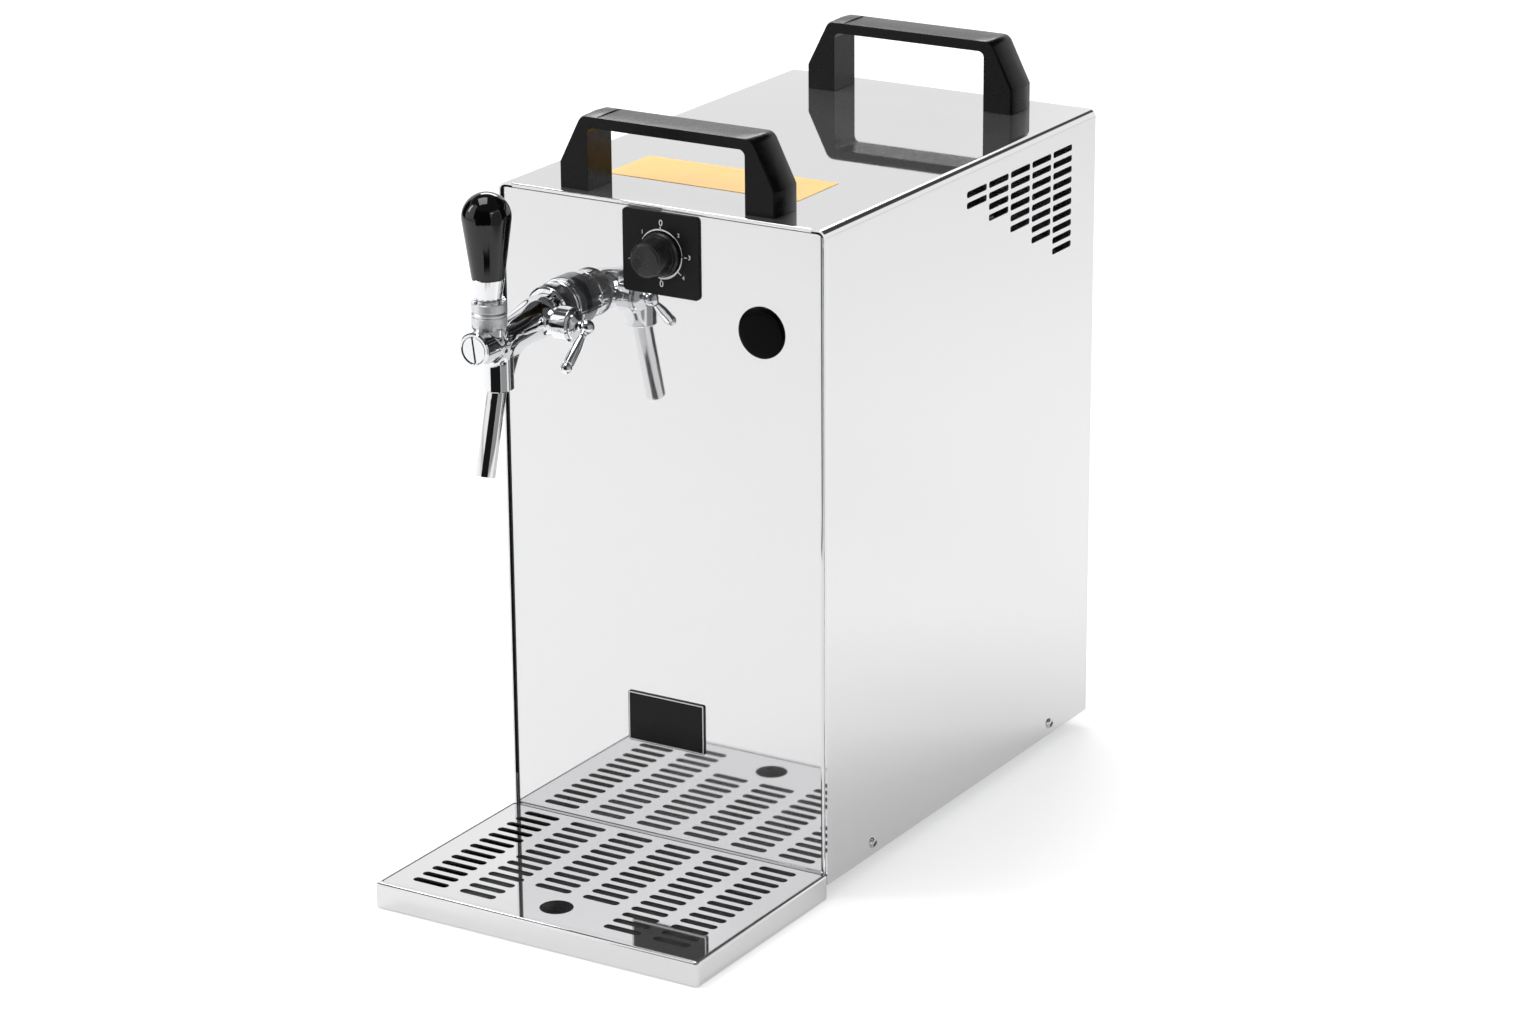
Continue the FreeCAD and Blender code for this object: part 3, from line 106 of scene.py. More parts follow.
def mesh_of(name, vertices, faces):
    """A closed mesh: doubles merged, slivers gone, faces outwards, smooth between real edges."""
    mesh = bpy.data.meshes.new(name)
    mesh.from_pydata([tuple(v) for v in vertices], [], faces)
    work = bmesh.new()
    work.from_mesh(mesh)
    bmesh.ops.remove_doubles(work, verts=work.verts, dist=SAME_PLACE)
    bmesh.ops.dissolve_degenerate(work, dist=SLIVER, edges=work.edges)
    bmesh.ops.recalc_face_normals(work, faces=work.faces)
    work.to_mesh(mesh)
    work.free()
    return smooth(mesh)


def loose(name, mesh):
    """A new object in the scene that holds a mesh."""
    obj = bpy.data.objects.new(name, mesh)
    bpy.context.scene.collection.objects.link(obj)
    return obj


def finished(obj, name):
    """The mesh of obj with its modifiers applied; obj is removed."""
    bpy.context.view_layer.update()
    evaluated = obj.evaluated_get(bpy.context.evaluated_depsgraph_get())
    mesh = bpy.data.meshes.new_from_object(evaluated)
    mesh.name = name
    bpy.data.objects.remove(obj)
    return mesh


def weighted(mesh):
    """Keeps large flat faces flat where they run into a rounded edge."""
    obj = loose("weighting", mesh)
    modifier = obj.modifiers.new("weights", "WEIGHTED_NORMAL")
    modifier.keep_sharp = True
    return finished(obj, mesh.name)


def joined(meshes, name):
    """One mesh from several, with no modifiers left."""
    work = bmesh.new()
    for mesh in meshes:
        work.from_mesh(mesh)
    whole = bpy.data.meshes.new(name)
    work.to_mesh(whole)
    work.free()
    return whole


print("mesh helpers ready")

# %% [markdown]
# ## Helpers for materials
# Colours are written as on a colour card, in sRGB, and turned to the linear values that a
# renderer adds up. One function adds a node, sets it and links it, which keeps a tree of nodes as
# short to write as a sentence. The patterns are noise in real millimetres, so they need no image.

# %% Material helpers
NOISE_LOW, NOISE_HIGH = 0.3, 0.7


def colour(code):
    """The linear colour of a code such as #E6E6E7."""
    channels = [int(code[i:i + 2], 16) / 255 for i in (1, 3, 5)]
    linear = [c / 12.92 if c <= 0.04045 else ((c + 0.055) / 1.055) ** 2.4 for c in channels]
    return (*linear, 1.0)


def add(tree, kind, inputs=None, **settings):
    """Adds a node; an input is set to a value, or linked if it is given a socket."""
    made = tree.nodes.new(kind)
    for name, value in settings.items():
        setattr(made, name, value)
    for key, value in (inputs or {}).items():
        if isinstance(value, bpy.types.NodeSocket):
            tree.links.new(value, made.inputs[key])
        else:
            made.inputs[key].default_value = value
    return made


def finish_of(name, code, roughness, metallic=0.0, **sockets):
    """A material with one Principled shader; further sockets are given by their names."""
    material = bpy.data.materials.new(name)
    material.use_nodes = True
    shader = material.node_tree.nodes["Principled BSDF"]
    shader.inputs["Base Color"].default_value = colour(code)
    shader.inputs["Roughness"].default_value = roughness
    shader.inputs["Metallic"].default_value = metallic
    for key, value in sockets.items():
        shader.inputs[key.replace("_", " ")].default_value = value
    return material, material.node_tree, shader


def grain(tree, size, detail=2.0, stretch=(1, 1, 1)):
    """Noise whose lumps are about size millimetres across."""
    place = add(tree, "ShaderNodeTexCoord").outputs["Object"]
    scaled = add(tree, "ShaderNodeMapping", {"Vector": place, "Scale": stretch})
    return add(tree, "ShaderNodeTexNoise", {"Vector": scaled.outputs[0], "Scale": 1000 / size,
                                            "Detail": detail}).outputs["Fac"]


def haze(tree, shader, low, high, source):
    """Lets source move the roughness between two values."""
    span = add(tree, "ShaderNodeMapRange", {"Value": source, "From Min": NOISE_LOW,
                                            "From Max": NOISE_HIGH, "To Min": low, "To Max": high})
    tree.links.new(span.outputs[0], shader.inputs["Roughness"])


def two_tone(tree, shader, first, second, source):
    """Lets source move the colour between two; 0, 6 and 7 are a colour mix's share and colours."""
    ramp = add(tree, "ShaderNodeMix", {0: source, 6: colour(first), 7: colour(second)},
               data_type="RGBA")
    tree.links.new(ramp.outputs[2], shader.inputs["Base Color"])


def bump(tree, shader, source, depth):
    """Raises the surface by about depth millimetres where source is 1."""
    lifted = add(tree, "ShaderNodeBump", {"Height": source, "Distance": depth / 1000,
                                          "Strength": 1.0})
    tree.links.new(lifted.outputs[0], shader.inputs["Normal"])


print("material helpers ready")

# %% [markdown]
# ## Finishes
# The casing is thin stainless sheet, and nearly all of it mirrors what stands round it. A single
# value for roughness would look like a drawing, so slow noise moves it a little on each sheet. On
# the two mirrors the metallic value stays just under 1, which lifts the darkest reflections.

# %% Sheet metal
# Bright-annealed sheet: a clear mirror, and its faint haze drifts from place to place.
polished_steel, tree, shader = finish_of("bright_annealed_stainless_sheet", "#E6E6E7", 0.03, 0.94)
haze(tree, shader, 0.02, 0.04, grain(tree, 60, 3))

# The front sheet is rolled against polished rolls, and its haze greys black a little.
panel_steel, tree, shader = finish_of("mirror_rolled_stainless_front", "#E6E6E7", 0.03, 0.93)
haze(tree, shader, 0.02, 0.04, grain(tree, 60, 3))

# As it leaves the mill, with no polish. Its dark colour is painted shade, so that it stays dim under
# the deck.
mill_steel_painted_shade, tree, shader = finish_of("mill_finish_with_painted_shade", "#333436", 0.3, 1.0)
haze(tree, shader, 0.25, 0.36, grain(tree, 10, 3))

# Painted reflection: a soft black on the outside of the front's left bend, standing in for a dark
# band mirrored there, with no clear reflection of its own.
painted_bend_reflection, tree, shader = finish_of("painted_dark_reflection_on_bend", "#0A0A0B", 0.4, Specular_IOR_Level=0.3)
haze(tree, shader, 0.35, 0.5, grain(tree, 3, 3))

# Satin-rolled along X: short streaks and a broad sheen. Real streaks are a tenth as wide as these,
# which are drawn 1.2 mm wide so that they show.
satin_steel, tree, shader = finish_of("satin_rolled_stainless_sheet", "#D4D5D6", 0.28, 1.0)
haze(tree, shader, 0.22, 0.34, grain(tree, 1.2, 3, (0.05, 1, 1)))

# Hot-dipped in zinc: crystals some 7 mm across, a few of them duller than the rest.
zinc, tree, shader = finish_of("galvanised_sheet", "#A9ADAF", 0.4, 1.0)
haze(tree, shader, 0.3, 0.55, grain(tree, 7, 4))
print("sheet metal ready")

# %% [markdown]
# The tap is brass, turned or cast, and then plated. Chrome is brighter and a little bluer than
# steel, and the buffed brass under it has no haze from rolls. Where it is finely knurled, the facets
# are smaller than the render can show, so roughness stands for them.

# %% Chrome and the other metals
# Buffed before it is plated: the clearest mirror on the cooler.
chrome, tree, shader = finish_of("polished_chrome_plated_brass", "#F0F1F3", 0.03, 1.0)
haze(tree, shader, 0.02, 0.045, grain(tree, 12, 2))

# Dark satin plating: what it mirrors runs together into soft bands.
satin_chrome, tree, shader = finish_of("satin_black_chrome_plated_brass", "#85878A", 0.18, 1.0)
haze(tree, shader, 0.16, 0.2, grain(tree, 12, 1))

# A fine knurl scatters what it mirrors, so the rings look lighter and duller.
knurled_chrome, tree, shader = finish_of("fine_knurled_chrome_plated_brass", "#E9EAEC", 0.4, 1.0)
haze(tree, shader, 0.36, 0.44, grain(tree, 4, 2))

# Drawn through a die: faint lines along Z, 1.5 mm wide here and much finer on a real tube.
drawn_steel, tree, shader = finish_of("bright_drawn_stainless_tube", "#E9E9EA", 0.06, 1.0)
haze(tree, shader, 0.04, 0.1, grain(tree, 1.5, 2, (1, 1, 0.05)))

# Barrel-plated nickel: a warm shine with small dull spots.
screw_plate, tree, shader = finish_of("nickel_plated_screw_steel", "#C9CACB", 0.16, 1.0)
haze(tree, shader, 0.1, 0.25, grain(tree, 1.5))

# Sand-cast and tumbled: an even, dull grey.
aluminium, tree, shader = finish_of("cast_aluminium", "#BEC1C4", 0.4, 1.0)
haze(tree, shader, 0.3, 0.5, grain(tree, 2.5, 3))

# Drawn and then handled: warm, with darker touched spots.
copper, tree, shader = finish_of("drawn_copper_tube", "#C9805F", 0.22, 1.0)
two_tone(tree, shader, "#C9805F", "#A8654A", grain(tree, 9, 3))
print("metals ready")

# %% [markdown]
# The black pieces are all but the same colour and differ in gloss: the grip is polished thermoset,
# the handles are glass-filled nylon with a fine spark-eroded grain, the knob is plain ABS, and the
# plug is polyethylene. So each has its own range of roughness and its own share of highlight.

# %% Black plastics and plates
# Pressed and buffed thermoset: deep black with small sharp highlights.
grip_black, tree, shader = finish_of("polished_black_phenolic", "#070708", 0.06, IOR=1.55)
haze(tree, shader, 0.04, 0.09, grain(tree, 10))

# Moulded in a spark-eroded tool: a low, even sheen. Its grain is drawn 0.8 mm wide so that it shows.
handle_black, tree, shader = finish_of("black_glass_filled_nylon", "#050506", 0.3,
                                       Specular_IOR_Level=0.2)
haze(tree, shader, 0.24, 0.34, grain(tree, 6, 3))
bump(tree, shader, grain(tree, 0.8, 2), 0.001)

# Plain moulded ABS: a slightly grey black with a broad highlight.
abs_black, tree, shader = finish_of("moulded_black_abs", "#1C1C1D", 0.3, Specular_IOR_Level=0.5)
haze(tree, shader, 0.24, 0.36, grain(tree, 5, 3))

# Polyethylene from a polished tool: smooth and very dark.
plug_black, tree, shader = finish_of("glossy_black_polyethylene", "#030303", 0.12,
                                     Specular_IOR_Level=0.06)
haze(tree, shader, 0.1, 0.16, grain(tree, 5, 3))

# Anodised aluminium: a matt black on which white print stands out.
plate_black, tree, shader = finish_of("black_anodised_dial_plate", "#121213", 0.4,
                                      Specular_IOR_Level=0.2)
haze(tree, shader, 0.36, 0.46, grain(tree, 4, 4))

# Enamel on a flat plate: black, with a gloss like still water.
badge_black, tree, shader = finish_of("black_enamelled_plate", "#050506", 0.16,
                                      Specular_IOR_Level=0.2)
haze(tree, shader, 0.12, 0.2, grain(tree, 8, 2))
print("black finishes ready")

# %% [markdown]
# What remains is print, film, rubber and the machinery inside. Print and film are dull beside the
# metal. The inner finishes are seen through slots at most, but a taken-apart cooler shows them, so
# they are as true as the outer ones.

# %% Print, film, rubber and the inside
# Screen ink: chalky, and not quite even in its gloss.
white_print, tree, shader = finish_of("white_screen_print", "#F2F2F0", 0.5)
haze(tree, shader, 0.42, 0.55, grain(tree, 1, 2))

# Acetal: a waxy white with a soft highlight.
white_plastic, tree, shader = finish_of("white_acetal", "#E9E9E4", 0.25, IOR=1.48)
haze(tree, shader, 0.2, 0.32, grain(tree, 3, 2))

# Vinyl film: a yellow that shifts a little from place to place.
label_yellow, tree, shader = finish_of("yellow_vinyl_film", "#F4BE4C", 0.35)
two_tone(tree, shader, "#F6C24E", "#F2B83E", grain(tree, 20, 3))

# Moulded rubber: almost no highlight, and a grain that feels dry.
rubber, tree, shader = finish_of("black_rubber", "#141414", 0.7)
bump(tree, shader, grain(tree, 0.8, 3), 0.03)

# Stove enamel on the compressor: black, with a gloss that comes and goes.
enamel_black, tree, shader = finish_of("black_stove_enamel", "#0B0B0B", 0.25)
haze(tree, shader, 0.18, 0.32, grain(tree, 5, 3))

# Rigid foam: dull, pitted and straw-coloured.
foam, tree, shader = finish_of("rigid_insulating_foam", "#D9CFA6", 0.9)
bump(tree, shader, grain(tree, 1.5, 4), 0.2)

# Extruded tube: milky, with a slight gloss.
beer_line, tree, shader = finish_of("natural_polyethylene_tube", "#E6E8E4", 0.3, IOR=1.5)
haze(tree, shader, 0.24, 0.36, grain(tree, 6, 2))
print("print, film, rubber and inner finishes ready")

# %% [markdown]
# Every solid takes the finish of its slot, by one table, so that no piece is forgotten. Solids that
# already have the right shape and show no curved polished face keep their own mesh, which is then
# only given its material. Each piece made later stands in the place of its solid.

# %% Give each solid its finish
FINISHES = {
    "polished_stainless": polished_steel, "satin_stainless": satin_steel,
    "galvanised_steel": zinc, "plated_screws": screw_plate, "chrome": chrome,
    "tap_stainless": drawn_steel, "black_grip": grip_black, "black_nylon": handle_black,
    "black_plastic": abs_black, "white_plastic": white_plastic, "shaft_steel": drawn_steel,
    "black_badge": badge_black, "yellow_label": label_yellow, "black_rubber": rubber,
    "cast_aluminium": aluminium, "copper": copper, "black_enamel": enamel_black, "foam": foam,
    "beer_tube": beer_line,
}
for node, obj in frame["nodes"].items():
    obj.data.materials.clear()
    obj.data.materials.append(FINISHES[node_slots[node]])


def piece(name, mesh, node, finish=None, stands=True):
    """Puts a finished mesh in the place of a solid, on the same body, with its slot's finish unless
    another is given.
    """
    mesh.name = name
    mesh.materials.clear()
    mesh.materials.append(finish or FINISHES[node_slots[node]])
    obj = loose(name, mesh)
    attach(obj, node_bodies[node])
    if stands:
        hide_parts(node)
    return obj


print(len(FINISHES), "finishes for", len(frame["nodes"]), "solids")

# %% [markdown]
# ## Sheet metal, screws and small fittings
# These solids are right in shape, but they come as loose triangles that would reflect as facets.
# They could be built again from nothing. It is surer to merge a copy of each and shade it smooth,
# so that bends and rims reflect as curves, while weighted normals keep the flat faces flat.

# %% Smooth copies of the solids
def merged(node, degrees, reshape=None):
    """A copy of a solid's mesh whose triangles are merged where they bend less than degrees."""
    work = bmesh.new()
    work.from_mesh(frame["nodes"][node].data)
    bmesh.ops.remove_doubles(work, verts=work.verts, dist=2 * SAME_PLACE)
    bmesh.ops.dissolve_limit(work, angle_limit=math.radians(degrees), verts=work.verts,
                             edges=work.edges)
    if reshape:
        reshape(work)
    mesh = bpy.data.meshes.new(node)
    work.to_mesh(mesh)
    work.free()
    return mesh


COPIED = ["front_panel", "casing_cover", "rear_panel", "drip_tray", "rubber_feet", "cover_screws",
          "inlet_fitting", "inlet_collet", "cable_gland", "tap_shank", "front_cap", "lever_stem",
          "fan_rotor", "compressor", "base_pan", "drip_grille"]
for node in COPIED:
    finish = panel_steel if node == "front_panel" else None
    piece(node + "_skin", weighted(smooth(merged(node, 0.5))), node, finish)
print(len(COPIED), "smooth copies")

# %% [markdown]
# Two places differ from the sheet that they belong to. The floor of the pan, under the deck, keeps
# the duller surface of the mill, with painted shade in its dark colour. The outside of the left bend
# of the front has a painted dark reflection, which shows as a dark line. A second material on those
# faces does it, with no new mesh, and each face is picked by where it lies and which way it looks.

# %% Painted shade on the pan's floor and a painted reflection on the bend
PAN_FLOOR, PANEL_HALF, BEND_BAND = 1.2, 85.2, 2.1
FACING_UP, FACING_LEFT, FACING_FORWARDS = 0.9, -0.02, -0.01


def paint(name, material, wanted):
    """Gives a second material to the faces of a piece that wanted picks."""
    mesh = bpy.data.objects[name].data
    mesh.materials.append(material)
    picked = [polygon for polygon in mesh.polygons if wanted(polygon)]
    for polygon in picked:
        polygon.material_index = 1
    print(name, "has", len(picked), "faces of", material.name)


def on_pan_floor(face):
    """Whether a face of the tray is the level floor of its pan."""
    return face.normal.z > FACING_UP and face.center.z < PAN_FLOOR / 1000


def on_left_bend(face):
    """Whether a face of the front panel lies on the outside of its left bend."""
    beside = face.center.x < (BEND_BAND - PANEL_HALF) / 1000
    return beside and face.normal.x < FACING_LEFT and face.normal.y < FACING_FORWARDS


# The pan's floor: a dull mill finish whose dark colour is painted shade.
paint("drip_tray_skin", mill_steel_painted_shade, on_pan_floor)
# The outside of the left bend gets a painted dark reflection.
paint("front_panel_skin", painted_bend_reflection, on_left_bend)

# %% [markdown]
# ## Turned pieces
# Most of the tap comes off a lathe. Each such piece is an outline of (radius, distance along the
# axis) points that mesh code spins round, because a Screw modifier would leave the poles and the
# end faces to be closed by hand. Where an outline is sharp, a bevel then breaks its edges by a few
# tenths of a millimetre: a polished edge shows as a thin bright line and never as a knife.

# %% Lathe and bevel
BEVELLED_EDGE = 25


def toward(base, axis):
    """The matrix that stands a mesh made along +Z on base, pointing along axis."""
    return Matrix.Translation(base) @ axis.to_track_quat("Z", "X").to_matrix().to_4x4()


def lathe(name, outline, base, axis, steps=96):
    """A closed turned solid. An outline that doesn't start on the axis is a ring."""
    rings = [[(radius * math.cos(2 * math.pi * i / steps) / 1000,
               radius * math.sin(2 * math.pi * i / steps) / 1000, along / 1000)
              for i in range(steps)] for radius, along in outline]
    count = len(outline)
    spans = count if outline[0][0] > 0 else count - 1
    faces = [(a * steps + i, a * steps + (i + 1) % steps,
              (a + 1) % count * steps + (i + 1) % steps, (a + 1) % count * steps + i)
             for a in range(spans) for i in range(steps)]
    mesh = mesh_of(name, [point for ring in rings for point in ring], faces)
    mesh.transform(toward(base, axis))
    return mesh


def bevelled(mesh, width, segments=2):
    """Rounds the real edges by width millimetres and keeps the faces beside them flat."""
    obj = loose("edges", mesh)
    modifier = obj.modifiers.new("edges", "BEVEL")
    modifier.width, modifier.segments = width / 1000, segments
    modifier.limit_method = "ANGLE"
    modifier.angle_limit = math.radians(BEVELLED_EDGE)
    modifier.harden_normals = True
    return finished(obj, mesh.name)


def arc(radius, height, reach, first, last, steps=12):
    """Outline points on a circle about (reach, height), from one angle to another in degrees."""
    angles = [math.radians(first + (last - first) * i / steps) for i in range(steps + 1)]
    return [(reach + radius * math.cos(a), height + radius * math.sin(a)) for a in angles]


print("lathe ready")

# %% [markdown]
# ## Teeth round a ring
# Knurls, lugs and the blocks of a lock nut repeat one ridge round a circle. Nodes suit that well:
# the count and the sizes are its inputs, so one tree makes every ring of teeth on this cooler. The
# sizes inside a tree are metres. Its result is made a plain mesh, because instances aren't exported.

# %% Geometry Nodes helpers
def node_tree(name, sizes):
    """A geometry tree with a named input for each size, its inputs and their identifiers."""
    tree = bpy.data.node_groups.new(name, "GeometryNodeTree")
    identifiers = {}
    for key, value in sizes.items():
        kind = "NodeSocketInt" if isinstance(value, int) else "NodeSocketFloat"
        socket = tree.interface.new_socket(key, in_out="INPUT", socket_type=kind)
        socket.default_value = value
        identifiers[key] = socket.identifier
    socket = tree.interface.new_socket("Finish", in_out="INPUT", socket_type="NodeSocketMaterial")
    identifiers["Finish"] = socket.identifier
    tree.interface.new_socket("Mesh", in_out="OUTPUT", socket_type="NodeSocketGeometry")
    return tree, add(tree, "NodeGroupInput").outputs, identifiers


def close_tree(tree, made, finish):
    """Ends a tree: instances become real faces, which get their finish."""
    real = add(tree, "GeometryNodeRealizeInstances", {"Geometry": made})
    painted = add(tree, "GeometryNodeSetMaterial", {"Geometry": real.outputs[0],
                                                    "Material": finish})
    add(tree, "NodeGroupOutput", {"Mesh": painted.outputs[0]})


def grow(name, tree, identifiers, finish, sizes):
    """The plain mesh that a tree makes; sizes are given by the names of its inputs."""
    obj = loose(name, bpy.data.meshes.new(name))
    modifier = obj.modifiers.new("nodes", "NODES")
    modifier.node_group = tree
    modifier[identifiers["Finish"]] = finish
    for key, value in sizes.items():
        modifier[identifiers[key]] = value
    return finished(obj, name)


print("node helpers ready")

# %% [markdown]
# One tooth is a short cylinder with few sides, stretched to a ridge. It stands on every point of a
# circle, turned by that point's share of the full turn. A bump in the material would be quicker,
# but then the teeth would be missing from the outline of the ring and from its mesh.

# %% The tree for teeth
ring_tree, size, ring_inputs = node_tree("teeth_round_a_ring", {
    "Count": 60, "Sides": 4, "Radius": 0.01, "Length": 0.005, "Width": 0.001, "Height": 0.0002})
circle = add(ring_tree, "GeometryNodeMeshCircle", {"Vertices": size["Count"],
                                                   "Radius": size["Radius"]})
share = add(ring_tree, "ShaderNodeMath", {0: add(ring_tree, "GeometryNodeInputIndex").outputs[0],
                                          1: size["Count"]}, operation="DIVIDE")
turn = add(ring_tree, "ShaderNodeMath", {0: share.outputs[0], 1: 2 * math.pi},
           operation="MULTIPLY")
angles = add(ring_tree, "ShaderNodeCombineXYZ", {"Z": turn.outputs[0]})
turned_to = add(ring_tree, "FunctionNodeEulerToRotation", {0: angles.outputs[0]})
ridge = add(ring_tree, "GeometryNodeMeshCylinder", {"Vertices": size["Sides"], "Radius": 1.0,
                                                    "Depth": 1.0})
half = add(ring_tree, "ShaderNodeMath", {0: size["Width"], 1: 0.5}, operation="MULTIPLY")
scale = add(ring_tree, "ShaderNodeCombineXYZ", {"X": size["Height"], "Y": half.outputs[0],
                                                "Z": size["Length"]})
teeth = add(ring_tree, "GeometryNodeInstanceOnPoints", {
    "Points": circle.outputs[0], "Instance": ridge.outputs["Mesh"],
    "Rotation": turned_to.outputs[0], "Scale": scale.outputs[0]})
close_tree(ring_tree, teeth.outputs[0], size["Finish"])


def teeth_on(base, axis, finish, count, radius, length, width, height, sides=4):
    """Ridges centred on base round axis, with their sizes in millimetres."""
    mesh = grow("teeth", ring_tree, ring_inputs, finish, {
        "Count": count, "Sides": sides, "Radius": radius / 1000, "Length": length / 1000,
        "Width": width / 1000, "Height": height / 1000})
    mesh.transform(toward(base, axis))
    return mesh


print(ring_tree.name, "has", len(ring_inputs), "inputs")

# %% [markdown]
# ## The tap's casting
# A cast tap has no sharp inside corners: barrel, bulb, web and collar run into each other through
# fillets. Modelling those by hand is slow, so the casting is written as one rule instead: the
# distance to each plain form, with a blend where two forms meet. The surface lies where the rule
# gives zero. It is meshed on a grid and then every corner is pulled exactly onto it.

# %% The rule of the casting
BULB_REACH, BULB_SWELL, BULB_FRONT, BULB_BACK = 26.5, 1.6, 9.2, 5.2
AXIS_SLOPE, AXIS_KNEE, KNEE_SOFTNESS = 3.5 / 32, 52.0, 3.0
NECK_R, NECK_END, NECK_MIDDLE = 6.4, 12.2, 7.0
WEB_HALF, WEB_START, WEB_SPAN, WEB_TOP, WEB_DROP = 4.5, 33.0, 19.0, 255.9, 15.9
WEB_CURVE, WEB_STEEPNESS, WEB_PAST_END, WEB_ROUND = 3.4, 2.8, 1.3, 3.5
BOSS_R, BOSS_TOP, BOSS_MIDDLE, BOSS_ROUND = 7.6, 270.0, 264.0, 0.3
COLLAR_FILLET, WEB_FILLET, NECK_FILLET, BOSS_FILLET = 1.2, 3.0, 2.6, 1.0


def blend(a, b, size):
    """The smaller of two distances, filleted over about size millimetres."""
    mix = np.clip(0.5 + 0.5 * (b - a) / size, 0, 1)
    return b * (1 - mix) + a * mix - size * mix * (1 - mix)


def within(a, b, size=0.6):
    """What two forms share, with its edge rounded."""
    return -blend(-a, -b, size)


def casting(points):
    """Distance to the casting at (x from the tap's middle, reach, height), in millimetres."""
    x, reach, z = points[..., 0], points[..., 1], points[..., 2]
    before_knee = KNEE_SOFTNESS * np.log1p(np.exp((AXIS_KNEE - reach) / KNEE_SOFTNESS))
    axis_z = BARREL_Z + AXIS_SLOPE * before_knee
    spread = np.where(reach < BULB_REACH, BULB_BACK, BULB_FRONT)
    radius = BARREL_R + BULB_SWELL * np.exp(-((reach - BULB_REACH) / spread) ** 2)
    barrel = np.hypot(x, z - axis_z) - radius
    collar = within(np.hypot(x, reach - SPOUT_REACH) - COLLAR_R, z - BARREL_Z)
    drop = np.clip((reach - WEB_START) / WEB_SPAN, 0, WEB_PAST_END)
    steepness = WEB_STEEPNESS * drop ** (WEB_CURVE - 1)
    under = (WEB_TOP - WEB_DROP * drop ** WEB_CURVE - z) / np.sqrt(1 + steepness ** 2)
    web_end = within(reach - SPOUT_REACH, z - BARREL_Z)
    web = within(within(np.abs(x) - WEB_HALF, under, WEB_ROUND), web_end)
    neck = within(np.hypot(reach - COMP_REACH, z - COMP_Z) - NECK_R,
                  np.abs(x - NECK_MIDDLE) - NECK_MIDDLE)
    boss = within(np.hypot(x, reach - LEVER_REACH) - BOSS_R,
                  np.abs(z - BOSS_MIDDLE) - (BOSS_TOP - BOSS_MIDDLE), BOSS_ROUND)
    web = blend(web, collar, COLLAR_FILLET)
    whole = blend(barrel, web, WEB_FILLET)
    whole = blend(whole, neck, NECK_FILLET)
    return blend(whole, boss, BOSS_FILLET)


bulb_middle = np.array([0, BULB_REACH, BARREL_Z])
print("the bulb's middle lies", round(-float(casting(bulb_middle)), 1), "mm deep")

# %% [markdown]
# Cylinders joined by booleans and remeshed would leave stair steps in the chrome. Here a grid finds
# where the rule changes its sign, and each crossed cell gives one corner of a coarse skin.

# %% A skin round a rule
def surface_of(field, low, high, step):
    """Corners and quads of a coarse skin round the place where field changes its sign."""
    axes = [np.arange(a, b, step) for a, b in zip(low, high)]
    inside = field(np.stack(np.meshgrid(*axes, indexing="ij"), -1)) < 0
    size = inside.shape
    filled = sum(inside[i:size[0] - 1 + i, j:size[1] - 1 + j, k:size[2] - 1 + k].astype(int)
                 for i in (0, 1) for j in (0, 1) for k in (0, 1))
    crossed = (filled > 0) & (filled < 8)
    number = np.full(crossed.shape, -1)
    number[crossed] = np.arange(crossed.sum())
    corners = np.array(low) + step * (np.argwhere(crossed) + 0.5)
    quads = []
    for along in range(3):
        p, q = (along + 1) % 3, (along + 2) % 3
        here = np.take(inside, range(size[along] - 1), along)
        there = np.take(inside, range(1, size[along]), along)
        edges = np.argwhere(here != there)
        kept = (edges[:, p] > 0) & (edges[:, q] > 0)
        kept &= (edges[:, p] < size[p] - 1) & (edges[:, q] < size[q] - 1)
        edges = edges[kept]
        ring = []
        for dp, dq in ((-1, -1), (0, -1), (0, 0), (-1, 0)):
            cell = edges.copy()
            cell[:, p] += dp
            cell[:, q] += dq
            ring.append(number[tuple(cell.T)])
        quads.append(np.stack(ring, 1))
    return corners, np.concatenate(quads)


print("skin helper ready")

# %% [markdown]
# The coarse skin is a staircase. Each corner is pulled down the slope of the rule until the rule
# says zero, and then evened out between its neighbours. Smoothing alone would be simpler, but it
# shrinks a shape, while pulling keeps it true to its sizes.

# %% Pull and even
def pulled(points, field, rounds):
    """Moves points straight to the zero of field."""
    small = 0.01
    for _ in range(rounds):
        slope = np.stack([(field(points + small * step) - field(points - small * step)) / (2 * small)
                          for step in np.eye(3)], -1)
        points = points - slope * (field(points) / (slope ** 2).sum(-1))[:, None]
    return points


def evened(points, quads):
    """Moves each point half way to the average of its neighbours."""
    total, count = np.zeros_like(points), np.zeros(len(points))
    for a in range(4):
        b = (a + 1) % 4
        for start, end in ((quads[:, a], quads[:, b]), (quads[:, b], quads[:, a])):
            np.add.at(total, start, points[end])
            np.add.at(count, start, 1)
    return points / 2 + total / count[:, None] / 2


def cut_flat(work, place, normal):
    """Cuts away what lies beyond a plane and closes the cut."""
    whole = work.verts[:] + work.edges[:] + work.faces[:]
    cut = bmesh.ops.bisect_plane(work, geom=whole, plane_co=place, plane_no=normal,
                                 clear_outer=True, dist=SLIVER)
    rim = [item for item in cut["geom_cut"] if isinstance(item, bmesh.types.BMEdge)]
    bmesh.ops.edgeloop_fill(work, edges=rim)


print("pull, even and cut ready")

# %% [markdown]
# The mesh of the casting runs a little past its ends, which the plane of a cut then faces off, as
# a lathe would. The four ends are the lip of the barrel, the face behind the bulb, the foot of the
# spout collar and the neck of the compensator.

